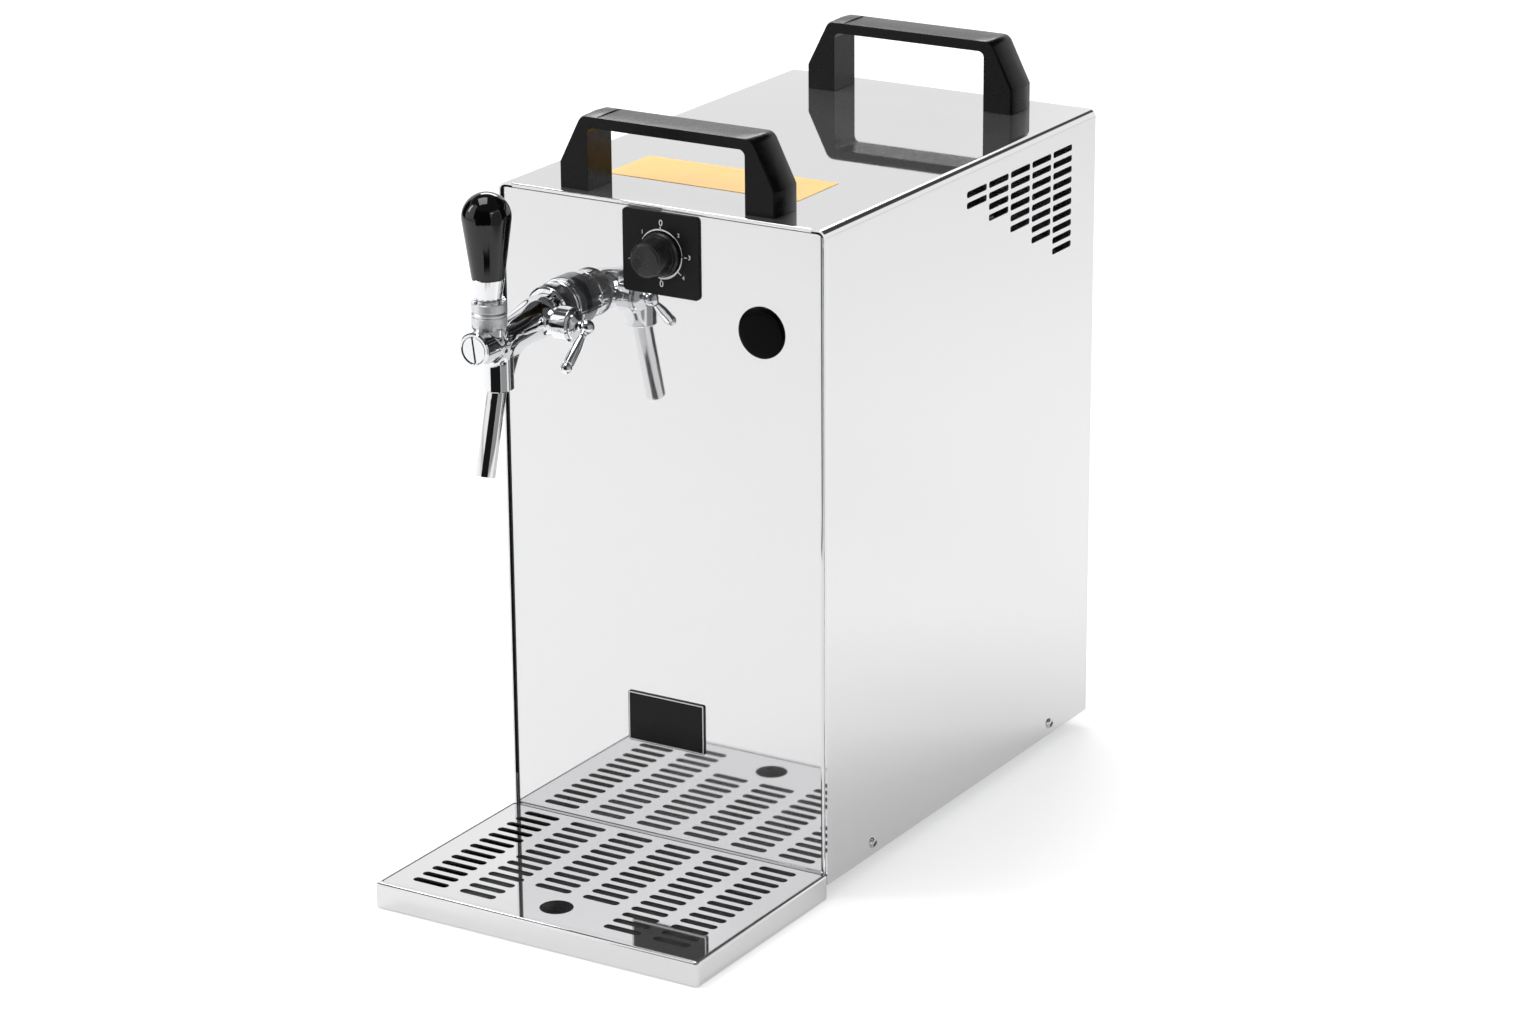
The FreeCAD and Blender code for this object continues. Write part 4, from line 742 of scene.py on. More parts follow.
# %% The casting's mesh
GRID_LOW, GRID_HIGH, GRID_STEP = (-11, 17, 236), (15, 81, 277), 0.5
LIP_REACH, COLLAR_END, NUT_END, CAST_EDGE = 76.2, 240.3, 19.9, 40
points, quads = surface_of(casting, GRID_LOW, GRID_HIGH, GRID_STEP)
points = pulled(points, casting, 3)
for _ in range(4):
    points = pulled(evened(points, quads), casting, 2)
work = bmesh.new()
corners = [work.verts.new(tap(reach, z, TAP_X + x)) for x, reach, z in points.tolist()]
for quad in quads.tolist():
    work.faces.new([corners[i] for i in quad])
cut_flat(work, tap(LIP_REACH, BARREL_Z), -Y_AXIS)
cut_flat(work, tap(NUT_END, FITTING_Z), Y_AXIS)
cut_flat(work, tap(SPOUT_REACH, COLLAR_END), -Z_AXIS)
cut_flat(work, tap(COMP_REACH, COMP_Z, TAP_X + NECK_END), X_AXIS)
bmesh.ops.recalc_face_normals(work, faces=work.faces)
cast_mesh = bpy.data.meshes.new("casting")
work.to_mesh(cast_mesh)
work.free()
smooth(cast_mesh, CAST_EDGE)
print("casting:", len(cast_mesh.polygons), "faces")

# %% [markdown]
# The casting has a small weep hole beside the collar, and two turned rims, one round the front cap
# and one round the spout. A boolean is right for one plain hole in a dense mesh. The rims are
# turned, because the cut ends of the casting are flat and sharp.

# %% The weep hole and the two rims
WEEP_R, WEEP_DEPTH, WEEP_REACH, WEEP_Z, WEEP_SIDE = 1.2, 6.0, 63.0, 253.4, 3.2
drill = loose("drill", lathe("drill", [(0, 0), (WEEP_R, 0), (WEEP_R, WEEP_DEPTH), (0, WEEP_DEPTH)],
                             tap(WEEP_REACH, WEEP_Z, TAP_X + WEEP_SIDE), X_AXIS, 24))
drilled = loose("drilled", cast_mesh)
modifier = drilled.modifiers.new("hole", "BOOLEAN")
modifier.operation, modifier.object = "DIFFERENCE", drill
cast_mesh = finished(drilled, "casting")
bpy.data.objects.remove(drill)
lip = lathe("lip", [(BARREL_R, LIP_REACH), (BARREL_R, 76.5), (7.3, 77.15), (6.5, 77.2),
                    (6.28, 77.0), (6.28, 74.5), (7.0, LIP_REACH - 2)], tap(0, BARREL_Z), -Y_AXIS, 128)
rim = lathe("rim", [(COLLAR_R, COLLAR_END), (COLLAR_R, 240.0), (6.9, 239.55), (5.2, 239.5),
                    (SPOUT_R + 0.02, 239.9), (SPOUT_R + 0.02, 243), (6.5, 243)],
            mm(TAP_X, FRONT - SPOUT_REACH, 0), Z_AXIS, 128)
whole_casting = joined([cast_mesh, lip, rim], "tap_casting")
piece("tap_casting", whole_casting, "tap_body")
print("casting with its rims:", len(whole_casting.polygons), "faces")

# %% [markdown]
# ## The nut, the rosette and the rings
# A coupling nut holds the casting to the shank, and a rosette covers the hole behind it. The nut is
# knurled so that fingers can turn it. Its bands and grooves come from one outline on the lathe, as
# on the real machine, and the narrow grooves read as dark lines.

# %% Rosette and coupling nut
RIDGES = 110
at_panel = tap(0, FITTING_Z)
rosette = bevelled(lathe("rosette", [(8, 0), (12.4, 0), (12.4, 4.75), (8, 4.75)], at_panel,
                         -Y_AXIS, 128), 0.15)
piece("rosette_turned", rosette, "tap_rosette", satin_chrome)
nut = bevelled(lathe("nut", [(8, 4.8), (12.0, 4.8), (12.0, 8.4), (11.3, 8.7), (11.3, 9.1),
                             (11.8, 9.3), (11.8, 10.5), (11.4, 10.9), (11.4, 11.4), (11.1, 18.7),
                             (10.2, 19.6), (8.3, 19.6), (8.3, 13), (8, 13)], at_panel, -Y_AXIS,
                     128), 0.2)
ridges = teeth_on(tap(14.9, FITTING_Z), -Y_AXIS, satin_chrome, RIDGES, radius=11.2,
                  length=6.8, width=0.6, height=0.14)
piece("coupling_nut_turned", nut, "coupling_nut")
piece("coupling_nut_knurl", ridges, "coupling_nut", satin_chrome)
print("coupling nut with", RIDGES, "ridges")

# %% [markdown]
# A ring nut holds the lever's ball down, and fingers turn it by its fine knurl and its lugs. Its
# dome and the cup under the lock nut are arcs about the same pivot, with a small gap between them,
# so that the lever swings free. Arcs from that one point keep the gap even at every angle.

# %% Ring nut over the lever's ball
def on_lever(up):
    """A place on the lever's axis, so many millimetres over its pivot."""
    return tap(LEVER_REACH, PIVOT_Z + up)


pivot = on_lever(0)
BONNET_R, BONNET_DOME = 8.0, 9.3
ring = lathe("ring", [(7.4, -1.5), (BONNET_R, -0.9), (BONNET_R, 3.3), (7.55, 3.6), (7.55, 4.0),
                      (BONNET_R, 4.3)] + arc(BONNET_DOME, 0, 0, 30, 46, 4)
             + [(4.4, 4.4), (4.1, 3.5), (4.1, -1.5)], pivot, Z_AXIS, 128)
knurl = teeth_on(on_lever(1.2), Z_AXIS, chrome, RIDGES, radius=BONNET_R, length=3.2, width=0.4,
                 height=0.03)
lugs = teeth_on(on_lever(-0.9), Z_AXIS, chrome, 8, radius=7.75, length=1.6, width=3.4, height=0.5,
                sides=6)
piece("ring_nut_knurled", joined([ring, knurl, lugs], "ring"), "lever_bonnet", knurled_chrome)
print("ring nut", 2 * BONNET_R, "mm across")

# %% [markdown]
# The lever carries a lock nut with twelve blocks on its rim, a chromed ferrule and a turned grip.
# The grip is a cone that runs into a ball. It could be two shapes joined, but a single outline has
# no seam, and the angle where the two meet is worked out, so that it has no kink either.

# %% Lock nut, ferrule and grip on the lever
LOCK_R, LOCK_CUP = 7.9, 9.75
lock = lathe("lock", arc(LOCK_CUP, 0, 0, 66, 36.5, 4) + [(LOCK_R, 6.1), (LOCK_R, 9.5),
                                                        (7.6, 9.8), (6.2, 9.8), (6.2, 11.1),
                                                        (3, 11.1)], pivot, Z_AXIS, 128)
knurl = teeth_on(on_lever(7.8), Z_AXIS, chrome, RIDGES, radius=LOCK_R, length=3.2, width=0.4,
                 height=0.03)
blocks = teeth_on(on_lever(10.3), Z_AXIS, chrome, 12, radius=7.0, length=1.2, width=2.3,
                  height=0.75, sides=8)
piece("lock_nut_knurled", joined([lock, knurl, blocks], "lock"), "lever_nut", knurled_chrome)

ferrule = bevelled(lathe("ferrule", [(3, 11.2), (5.6, 11.2), (5.9, 11.6), (7.5, 20.6),
                                     (7.3, 20.9), (3, 20.9)], pivot, Z_AXIS, 128), 0.15)
piece("ferrule_turned", ferrule, "lever_ferrule")

GRIP_FOOT_R, GRIP_FOOT, HEAD_R, HEAD_UP = 7.6, 21.7, 11.2, 48.5
slant = math.hypot(GRIP_FOOT_R, HEAD_UP - GRIP_FOOT)
lean = math.degrees(math.acos(HEAD_R / slant) - math.atan2(HEAD_UP - GRIP_FOOT, GRIP_FOOT_R))
grip = lathe("grip", [(3, 20.9), (7.1, 20.9), (7.45, 21.1), (GRIP_FOOT_R, GRIP_FOOT)]
             + arc(HEAD_R, HEAD_UP, 0, lean, 90, 40) + [(0, 34), (3, 34)], pivot, Z_AXIS, 160)
piece("grip_turned", grip, "lever_grip")
print("grip", 2 * HEAD_R, "mm across its head")

# %% [markdown]
# ## Compensator
# The compensator chokes the flow, so that beer at high pressure leaves the tap calmly. From outside
# it is a turned housing on the side of the bulb, and a small arm that turns a spindle in it. The
# arm swells towards its tip, where a groove sets off a round end. All of it is lathe work on two
# axes, so that is how it is made.

# %% Compensator housing and its arm
BALL_OUT, BALL_R, TIP_REACH, TIP_Z, TIP_OUT = 26.6, 3.5, 43.4, 248.8, 26.2
comp_base = tap(COMP_REACH, COMP_Z)
housing = bevelled(lathe("housing", [(3.1, 5), (4.5, 5), (4.5, 12.2), (8, 12.2), (8, 19.4),
                                     (6.9, 20.4), (3.1, 20.4)], comp_base, X_AXIS, 128), 0.3, 3)
piece("compensator_housing_turned", housing, "compensator_housing")

cap = lathe("cap", [(0, 20.7), (6.7, 20.7), (6.8, 20.9), (6.6, 21.4), (5.2, 22.1), (3.4, 22.7),
                    (2.5, 23.3), (2.3, 24.5), (0, 25.2)], comp_base, X_AXIS, 96)
ball = lathe("ball", arc(BALL_R, BALL_OUT, 0, -90, 90, 24), comp_base, X_AXIS, 64)
ball_middle = tap(COMP_REACH, COMP_Z, TAP_X + BALL_OUT)
arm_tip = tap(TIP_REACH, TIP_Z, TAP_X + TIP_OUT)
arm_length = (arm_tip - ball_middle).length * 1000
arm_outline = [(0, 0), (1.9, 2.6), (1.9, 3.5), (1.5, 3.9), (1.5, 4.3), (1.9, 4.6), (1.9, 5.1),
               (1.6, 5.6), (1.75, 7), (2.2, 10), (2.5, 13), (2.6, arm_length - 3.4),
               (2.55, arm_length - 2.4), (2.2, arm_length - 2.1), (2.2, arm_length - 1.8)]
arm = lathe("arm", arm_outline + arc(2.75, arm_length - 0.3, 0, -30, 90, 12), ball_middle,
            (arm_tip - ball_middle).normalized(), 48)
piece("compensator_arm_turned", joined([cap, ball, arm], "arm"), "compensator_lever")
print("compensator arm", round(arm_length, 1), "mm long")

# %% [markdown]
# ## Spout
# The spout is a drawn tube bent on one radius, with the outer edge of its mouth broken. A curve with
# a round bevel would do for the outside. Rings set by a rule, a straight start, the arc and a
# straight end, give the bore and the mouth as well, and one closed wall.

# %% Spout tube
IN_COLLAR, UNDER_COLLAR, BEND_STEPS = 13.0, 3.0, 24
MOUTH_LENGTH, MOUTH_INSET = 0.4, 0.15


def spout_rings():
    """The middle of each ring of the tube, and the way that the tube points there."""
    rise = tap(SPOUT_REACH, COLLAR_Z + IN_COLLAR)
    knee = tap(SPOUT_REACH, COLLAR_Z + UNDER_COLLAR)
    mouth = tap(SPOUT_END_REACH, SPOUT_END_Z)
    ahead = (mouth - knee).normalized()
    bend = ahead.angle(-Z_AXIS)
    radius = SPOUT_BEND / 1000
    reach = radius * math.tan(bend / 2)
    start = knee + Z_AXIS * reach
    middle = start - Y_AXIS * radius
    yield rise, -Z_AXIS
    for step in range(BEND_STEPS + 1):
        angle = bend * step / BEND_STEPS
        out = Vector((0, math.cos(angle), -math.sin(angle)))
        yield middle + out * radius, Vector((0, -math.sin(angle), -math.cos(angle)))
    yield mouth - ahead * MOUTH_LENGTH / 1000, ahead
    yield mouth, ahead


def tube(name, path, outer, inner, steps=96):
    """A closed tube wall along a path of (middle, direction) in the plane of the tap."""
    path = list(path)
    line = [(place, ahead, outer) for place, ahead in path[:-1]]
    line += [(*path[-1], outer - MOUTH_INSET), (*path[-1], inner)]
    line += [(place, ahead, inner) for place, ahead in reversed(path[:-1])]
    vertices = []
    for place, ahead, radius in line:
        up = X_AXIS.cross(ahead)
        for i in range(steps):
            angle = 2 * math.pi * i / steps
            vertices.append(place + (X_AXIS * math.cos(angle) + up * math.sin(angle)) * radius / 1000)
    count = len(line)
    faces = [(a * steps + i, a * steps + (i + 1) % steps, (a + 1) % count * steps + (i + 1) % steps,
              (a + 1) % count * steps + i) for a in range(count) for i in range(steps)]
    return mesh_of(name, vertices, faces)


piece("spout_drawn", tube("spout", spout_rings(), SPOUT_R, SPOUT_BORE_R), "spout_tube")
print("spout dressed")

# %% [markdown]
# ## Print and trim
# Print could be mixed into the plate's material. Here each mark is a strip or a figure a few
# hundredths of a millimetre thick, so that it stays sharp at any distance and goes with the part.
# The dial has plain numbers, the plate low on the front has its border only, and the film has
# ruled lines.

# %% Strips
INK = 0.03


def on_front(across, up, height):
    """A place on the front panel, raised by height."""
    return mm(across, FRONT - height, up)


def on_top(across, along, height):
    """A place on the lid, raised by height."""
    return mm(across, along, TOP + height)


def strip(name, place, pairs, low, high, closed=False):
    """A flat strip through pairs of inner and outer points, from height low to height high."""
    vertices = []
    for inner, outer in pairs:
        for point, height in ((inner, low), (outer, low), (outer, high), (inner, high)):
            vertices.append(place(*point, height))
    count = len(pairs)
    faces = []
    for a in range(count if closed else count - 1):
        b = (a + 1) % count
        faces += [(4 * a + i, 4 * a + (i + 1) % 4, 4 * b + (i + 1) % 4, 4 * b + i) for i in range(4)]
    if not closed:
        faces += [(0, 1, 2, 3), tuple(4 * count - 4 + i for i in range(4))]
    return mesh_of(name, vertices, faces)


print("strips ready")

# %% [markdown]
# Everything on the dial lies round its middle, so one function turns a radius and an angle into a
# place, and lines and ticks are then short to write. A figure comes from Blender's own font, which
# saves drawing it, and is made a mesh before it is turned to face forwards.

# %% Lines, ticks and figures
DIAL_FACE, DIGIT_HALF, SCALE_STEP, CAPITAL_SHARE = 1.2, 0.02, 3.0, 0.7


def round_dial(radius, degrees):
    """A point round the dial: across and up, in millimetres."""
    turn = math.radians(degrees)
    return DIAL_X + radius * math.cos(turn), DIAL_Z + radius * math.sin(turn)


def swept_line(radius, marks):
    """A ring line on the dial that swells between marks of (degrees, width)."""
    angles = np.arange(marks[0][0], marks[-1][0] - 0.1, -SCALE_STEP)
    widths = np.interp(-angles, [-mark[0] for mark in marks], [mark[1] for mark in marks])
    pairs = [(round_dial(radius - width / 2, angle), round_dial(radius + width / 2, angle))
             for angle, width in zip(angles, widths)]
    return strip("ring_line", on_front, pairs, DIAL_FACE, DIAL_FACE + INK)


def tick(degrees, start, end, width):
    """A short mark that points away from the dial's middle."""
    half = math.degrees(width / 2 / start)
    pairs = [(round_dial(start, degrees + side), round_dial(end, degrees + side * start / end))
             for side in (half, -half)]
    return strip("tick", on_front, pairs, DIAL_FACE, DIAL_FACE + INK)


def digit(text, across, up, height):
    """One printed figure, centred on a place of the front."""
    letters = bpy.data.curves.new("digit", "FONT")
    letters.body = text
    letters.align_x = "CENTER"
    letters.align_y = "CENTER"
    letters.size = height / CAPITAL_SHARE / 1000
    letters.extrude = DIGIT_HALF / 1000
    obj = bpy.data.objects.new("digit", letters)
    bpy.context.scene.collection.objects.link(obj)
    mesh = finished(obj, "digit")
    mesh.transform(Matrix.Rotation(math.pi / 2, 4, "X"))
    mesh.transform(Matrix.Translation(on_front(across, up, DIAL_FACE + DIGIT_HALF)))
    return mesh


print("lines, ticks and figures ready")

# %% [markdown]
# The scale is a ring line in three lengths, two of which swell and thin out again, with a few ticks
# and plain numbers. A typeface gives the numbers, but a line whose width changes needs its own
# strip of faces, for which the widths are read between a few given ones.

# %% Marks on the dial
marks = [swept_line(11.2, [(150, 0.25), (128, 0.5), (96, 0.75), (66, 0.6), (48, 0.3)]),
         swept_line(11.35, [(47, 0.2), (1, 0.2)]),
         swept_line(11.2, [(-1, 0.35), (-40, 0.8), (-66, 1.05), (-84, 0.8), (-98, 0.4)]),
         tick(90, 11.3, 12.7, 0.5), tick(0, 12.4, 13.9, 0.32), tick(-38, 11.6, 13.7, 0.42),
         tick(-90, 11.2, 12.3, 0.42), tick(-166, 16.4, 17.6, 0.32)]
for text, across, up, height in (("0", 0.3, 14.3, 2.9), ("0", 0.3, -13.9, 2.9),
                                 ("1", -9.6, 9.0, 1.9), ("2", 9.6, 9.8, 1.7),
                                 ("3", 15.2, 0.2, 2.1), ("4", 11.9, -9.6, 1.9)):
    marks.append(digit(text, DIAL_X + across, DIAL_Z + up, height))
dial_marks = joined(marks, "dial_marks")
print_piece = piece("dial_print", dial_marks, "thermostat_plate", white_print, stands=False)
print(len(marks), "marks on the dial")

# %% [markdown]
# The plate low on the front is bare but for a thin plated border. Four bars would overlap at their
# ends, while one closed strip through four corners mitres itself.

# %% Border of the badge
def frame_pairs(middle_x, middle_z, half_x, half_z, width):
    """Inner and outer corners of a frame whose outer half sizes are given."""
    corners = [(-1, -1), (1, -1), (1, 1), (-1, 1)]
    return [((middle_x + a * (half_x - width), middle_z + b * (half_z - width)),
             (middle_x + a * half_x, middle_z + b * half_z)) for a, b in corners]


BADGE_X, BADGE_Z, BADGE_HALF_X, BADGE_HALF_Z, BADGE_FACE = 0.5, 69.7, 20.75, 12.25, 0.9
MARGIN, BORDER = 0.35, 0.5
border = strip("badge_border", on_front,
               frame_pairs(BADGE_X, BADGE_Z, BADGE_HALF_X - MARGIN, BADGE_HALF_Z - MARGIN, BORDER),
               BADGE_FACE, BADGE_FACE + INK, closed=True)
border_piece = piece("badge_border", border, "badge_plate", screw_plate, stands=False)
print("border", 2 * (BADGE_HALF_X - MARGIN), "mm wide")

# %% [markdown]
# The film on the lid is ruled with even lines. One thin box, repeated by a tree, needs only a count
# and a pitch, and both can be changed without touching a face.

# %% Lines on the film label, by Geometry Nodes
line_tree, size, line_inputs = node_tree("ruled_lines", {
    "Count": 8, "Length": 0.09, "Width": 0.0003, "Thickness": 0.00003, "Pitch": 0.0035})
line_step = add(line_tree, "ShaderNodeCombineXYZ", {"Y": size["Pitch"]})
line_places = add(line_tree, "GeometryNodeMeshLine", {"Count": size["Count"],
                                                      "Offset": line_step.outputs[0]})
line_size = add(line_tree, "ShaderNodeCombineXYZ", {"X": size["Length"], "Y": size["Width"],
                                                    "Z": size["Thickness"]})
one_line = add(line_tree, "GeometryNodeMeshCube", {"Size": line_size.outputs[0]})
lines = add(line_tree, "GeometryNodeInstanceOnPoints", {"Points": line_places.outputs[0],
                                                        "Instance": one_line.outputs[0]})
close_tree(line_tree, lines.outputs[0], size["Finish"])

LABEL_X, LABEL_Y, LABEL_FACE = -1.0, FRONT + 55.5, 0.2
LINES, PITCH = 9, 3.4
# Ink a shade darker than the film, so that the lines are seen only from close by.
label_line, tree, shader = finish_of("ochre_screen_print", "#D79F3E", 0.5)
haze(tree, shader, 0.45, 0.6, grain(tree, 2, 2))
ruled = grow("label_lines", line_tree, line_inputs, label_line, {
    "Count": LINES, "Length": 0.092, "Width": 0.00022, "Thickness": INK / 1000,
    "Pitch": PITCH / 1000})
first_line = LABEL_Y - PITCH * (LINES - 1) / 2
ruled.transform(Matrix.Translation(on_top(LABEL_X, first_line, LABEL_FACE)))
piece("label_lines", ruled, "top_label", label_line, stands=False)
print("print and trim ready")

# %% [markdown]
# ## Mouldings
# A moulding's edges are never sharp: the tool breaks them by a few tenths of a millimetre. The
# nearly flat triangles of each solid are merged first, so that a flat face is one face and stays
# flat in light. Then a bevel rounds the edges. Modelling the handles anew would risk their fit, so
# only the underside of each bar is raised, which makes it as slim as the real one. The domed plug
# is turned.

# %% Handles, knob, plates and plug
GAP_HALF, GAP_TOP, GAP_CORNER, BAR_HOLLOW = 41.5, 27.5, 3.0, 1.8
NEAR = 0.2


def thin_bar(work):
    """Makes the bar of a handle slimmer by raising the top of the gap under it."""
    foot = min(vertex.co.z for vertex in work.verts)
    for vertex in work.verts:
        height = (vertex.co.z - foot) * 1000
        round_the_gap = GAP_TOP - GAP_CORNER - NEAR < height < GAP_TOP + NEAR
        if round_the_gap and abs(vertex.co.x) * 1000 < GAP_HALF + NEAR:
            vertex.co.z += BAR_HOLLOW / 1000


def edged(node, width, segments=2, reshape=None):
    """A moulding: a merged copy of a solid with its edges rounded."""
    return bevelled(smooth(merged(node, 1.0, reshape)), width, segments)


for node in ("front_handle", "rear_handle"):
    piece(node + "_moulding", edged(node, 0.45, 3, reshape=thin_bar), node, handle_black)
piece("knob_moulding", edged("thermostat_knob", 0.25), "thermostat_knob")
piece("dial_plate", edged("thermostat_plate", 0.3), "thermostat_plate", plate_black)
piece("badge", edged("badge_plate", 0.15), "badge_plate")

PLUG_X = 53.5
plug = lathe("plug", [(0, 1.7), (3, 1.68), (6, 1.63), (8, 1.56), (9.6, 1.45), (10.8, 1.25),
                      (11.6, 0.95), (11.95, 0.5), (12, 0), (9.8, 0), (9.8, -0.8), (10.4, -1.6),
                      (9.4, -9), (8.2, -9), (8.2, 0.4), (0, 0.4)],
             tap(0, FITTING_Z, PLUG_X), -Y_AXIS, 128)
piece("plug_moulding", plug, "blanking_plug", plug_black)
print("mouldings ready")

# %% [markdown]
# ## Stage
# The cooler stands on a white sweep under soft boxes, as for a catalogue. The camera comes first. It
# has a long lens and looks from the right and a little above, so that upright edges lean very
# little. It could be placed by eye, but its place is worked out from two angles and a distance, so
# that it is easy to change.

# %% Camera
AZIMUTH, ELEVATION, ROLL = math.radians(31.38), math.radians(18.87), math.radians(-0.41)
DISTANCE, SHIFT_RIGHT, SHIFT_UP = 2175.0, -29.8, -68.1
FOCAL_PIXELS, FRAME_PIXELS = 4527.0, 1536.0
LOOKED_AT = Vector((0, FRONT + 150, 200))

backward = Vector((math.sin(AZIMUTH) * math.cos(ELEVATION), -math.cos(AZIMUTH) * math.cos(ELEVATION),
                   math.sin(ELEVATION)))
level_right = Vector((math.cos(AZIMUTH), math.sin(AZIMUTH), 0))
level_up = backward.cross(level_right)
right = math.cos(ROLL) * level_right + math.sin(ROLL) * level_up
up = -math.sin(ROLL) * level_right + math.cos(ROLL) * level_up
eye = LOOKED_AT + backward * DISTANCE + right * SHIFT_RIGHT + up * SHIFT_UP

lens = bpy.data.cameras.new("camera")
lens.sensor_width = 36.0
lens.lens = FOCAL_PIXELS / FRAME_PIXELS * lens.sensor_width
lens.clip_start, lens.clip_end = 0.05, 20
camera = bpy.data.objects.new("camera", lens)
bpy.context.scene.collection.objects.link(camera)
turned = Matrix((right, up, backward)).transposed().to_4x4()
camera.matrix_world = Matrix.Translation(eye * 0.001) @ turned
bpy.context.scene.camera = camera
print("lens", round(lens.lens, 1), "mm")

# %% [markdown]
# The background is white to the camera and in mirrors, but it lights the cooler with half of that
# strength only. Between 27 and 38 degrees up, mirrors see it fade into a dark ceiling, which gives
# chrome its dark upper bands and steel its dark bends. Light Path tells the kinds of rays apart.

# %% World
CEILING_LOW, CEILING_HIGH, CEILING_LEVEL, SOFT_LIGHT = 0.45, 0.62, 0.08, 0.5


def background(tree):
    """1 where a ray shows the background itself: to the camera, in metal and through glass."""
    rays = add(tree, "ShaderNodeLightPath").outputs
    seen = add(tree, "ShaderNodeMath", {0: rays["Is Camera Ray"], 1: rays["Is Glossy Ray"]},
               operation="MAXIMUM")
    return add(tree, "ShaderNodeMath", {0: seen.outputs[0], 1: rays["Is Transmission Ray"]},
               operation="MAXIMUM").outputs[0]


world = bpy.data.worlds.new("white_studio")
bpy.context.scene.world = world
world.use_nodes = True
tree = world.node_tree
rays = add(tree, "ShaderNodeLightPath").outputs
skyward = add(tree, "ShaderNodeTexCoord").outputs["Generated"]
ways = add(tree, "ShaderNodeSeparateXYZ", {0: skyward})
mirrored = add(tree, "ShaderNodeMapRange", {
    "Value": ways.outputs["Z"], "From Min": CEILING_LOW, "From Max": CEILING_HIGH,
    "To Min": 1.0, "To Max": CEILING_LEVEL}, interpolation_type="SMOOTHSTEP")
seen = add(tree, "ShaderNodeMapRange", {"Value": background(tree), "To Min": SOFT_LIGHT,
                                        "To Max": mirrored.outputs[0]})
shine = add(tree, "ShaderNodeMath", {0: seen.outputs[0], 1: rays["Is Camera Ray"]},
            operation="MAXIMUM")
tree.links.new(shine.outputs[0], tree.nodes["Background"].inputs["Strength"])
tree.nodes["Background"].inputs["Color"].default_value = (1, 1, 1, 1)
print("world", world.name)

# %% [markdown]
# The floor is matt paper that keeps the cooler's shadow. To the camera it also glows a little, so
# that it ends up as white as the background, and in mirrors it darkens towards the front left, so
# that the lowest part of the sheet metal isn't lost in white.

# %% Floor
FLOOR_HALF, FLOOR_Z = 4000, -0.4
PAPER, CAMERA_GLOW, NEAR_GLOW, FAR_GLOW = 0.8, 0.46, 0.16, 0.3
ACROSS_FLOOR, GLOW_LENGTH = (0.52, 0.85, 0), 0.35


def slab(name, corners, material):
    """A flat four-cornered piece of the stage."""
    obj = loose(name, mesh_of(name, corners, [(0, 1, 2, 3)]))
    obj.data.materials.append(material)


paper = bpy.data.materials.new("white_paper_sweep")
paper.use_nodes = True
tree = paper.node_tree
tree.nodes.clear()
matt = add(tree, "ShaderNodeBsdfDiffuse", {"Color": (PAPER, PAPER, PAPER, 1)})
rays = add(tree, "ShaderNodeLightPath").outputs
ground = add(tree, "ShaderNodeTexCoord").outputs["Object"]
along = add(tree, "ShaderNodeVectorMath", {0: ground, 1: ACROSS_FLOOR},
            operation="DOT_PRODUCT")
pool = add(tree, "ShaderNodeMapRange", {"Value": along.outputs["Value"], "From Min": 0.0,
                                        "From Max": GLOW_LENGTH, "To Min": NEAR_GLOW,
                                        "To Max": FAR_GLOW})
level = add(tree, "ShaderNodeMapRange", {"Value": rays["Is Camera Ray"],
                                         "To Min": pool.outputs[0], "To Max": CAMERA_GLOW})
glow = add(tree, "ShaderNodeEmission", {"Color": (1, 1, 1, 1), "Strength": level.outputs[0]})
both = add(tree, "ShaderNodeAddShader", {0: matt.outputs[0], 1: glow.outputs[0]})
sweep = add(tree, "ShaderNodeMixShader", {0: background(tree), 1: matt.outputs[0],
                                          2: both.outputs[0]})
add(tree, "ShaderNodeOutputMaterial", {"Surface": sweep.outputs[0]})
slab("floor", [mm(a * FLOOR_HALF, b * FLOOR_HALF, FLOOR_Z)
               for a, b in ((-1, -1), (1, -1), (1, 1), (-1, 1))], paper)
print("white paper", 2 * FLOOR_HALF / 1000, "m wide")

# %% [markdown]
# Four soft boxes give a plain, even light. Small lamps would make hard shadows and bright dots in
# the chrome. They are placed one by one, each aimed at the middle of the cooler, with the strongest
# behind it to lift its far edges off the paper.

# %% Soft boxes
LAMP_AIM = Vector((0, 0, 0.2))


def soft_box(name, place, size, power):
    """A rectangular lamp at place, aimed at the cooler: metres, and watts."""
    light = bpy.data.lights.new(name, "AREA")
    light.shape, light.size, light.size_y = "RECTANGLE", size[0], size[1]
    light.energy = power
    obj = bpy.data.objects.new(name, light)
    obj.location = place
    obj.rotation_euler = (Vector(place) - LAMP_AIM).to_track_quat("Z", "Y").to_euler()
    obj.visible_camera = False
    bpy.context.scene.collection.objects.link(obj)


soft_box("overhead", (-0.3, -0.2, 1.6), (0.9, 0.7), 8)
soft_box("key", (-1.4, -1.0, 1.2), (0.6, 0.8), 9)
soft_box("fill", (1.5, -0.9, 1.0), (0.4, 0.5), 4)
soft_box("back", (-0.9, 1.5, 1.5), (1.2, 0.5), 16)
print("four soft boxes")

# %% [markdown]
# Polished metal is only as lively as what it mirrors. In a studio, black and grey cards stand round
# the tap so that its chrome has dark bands with soft ends. The cards here show in reflections
# alone: the camera doesn't see them, and they throw no light and no shadow. A card that the tap
# needs would also blacken the sheet behind it. So the length of a ray decides: the tap is nearer to
# the card than the sheet is, and outside a set range of lengths, in metres, the card is clear.

# %% The material of a card
FADE_LENGTH, AFTER_THE_FIRST = 0.02, 1.5


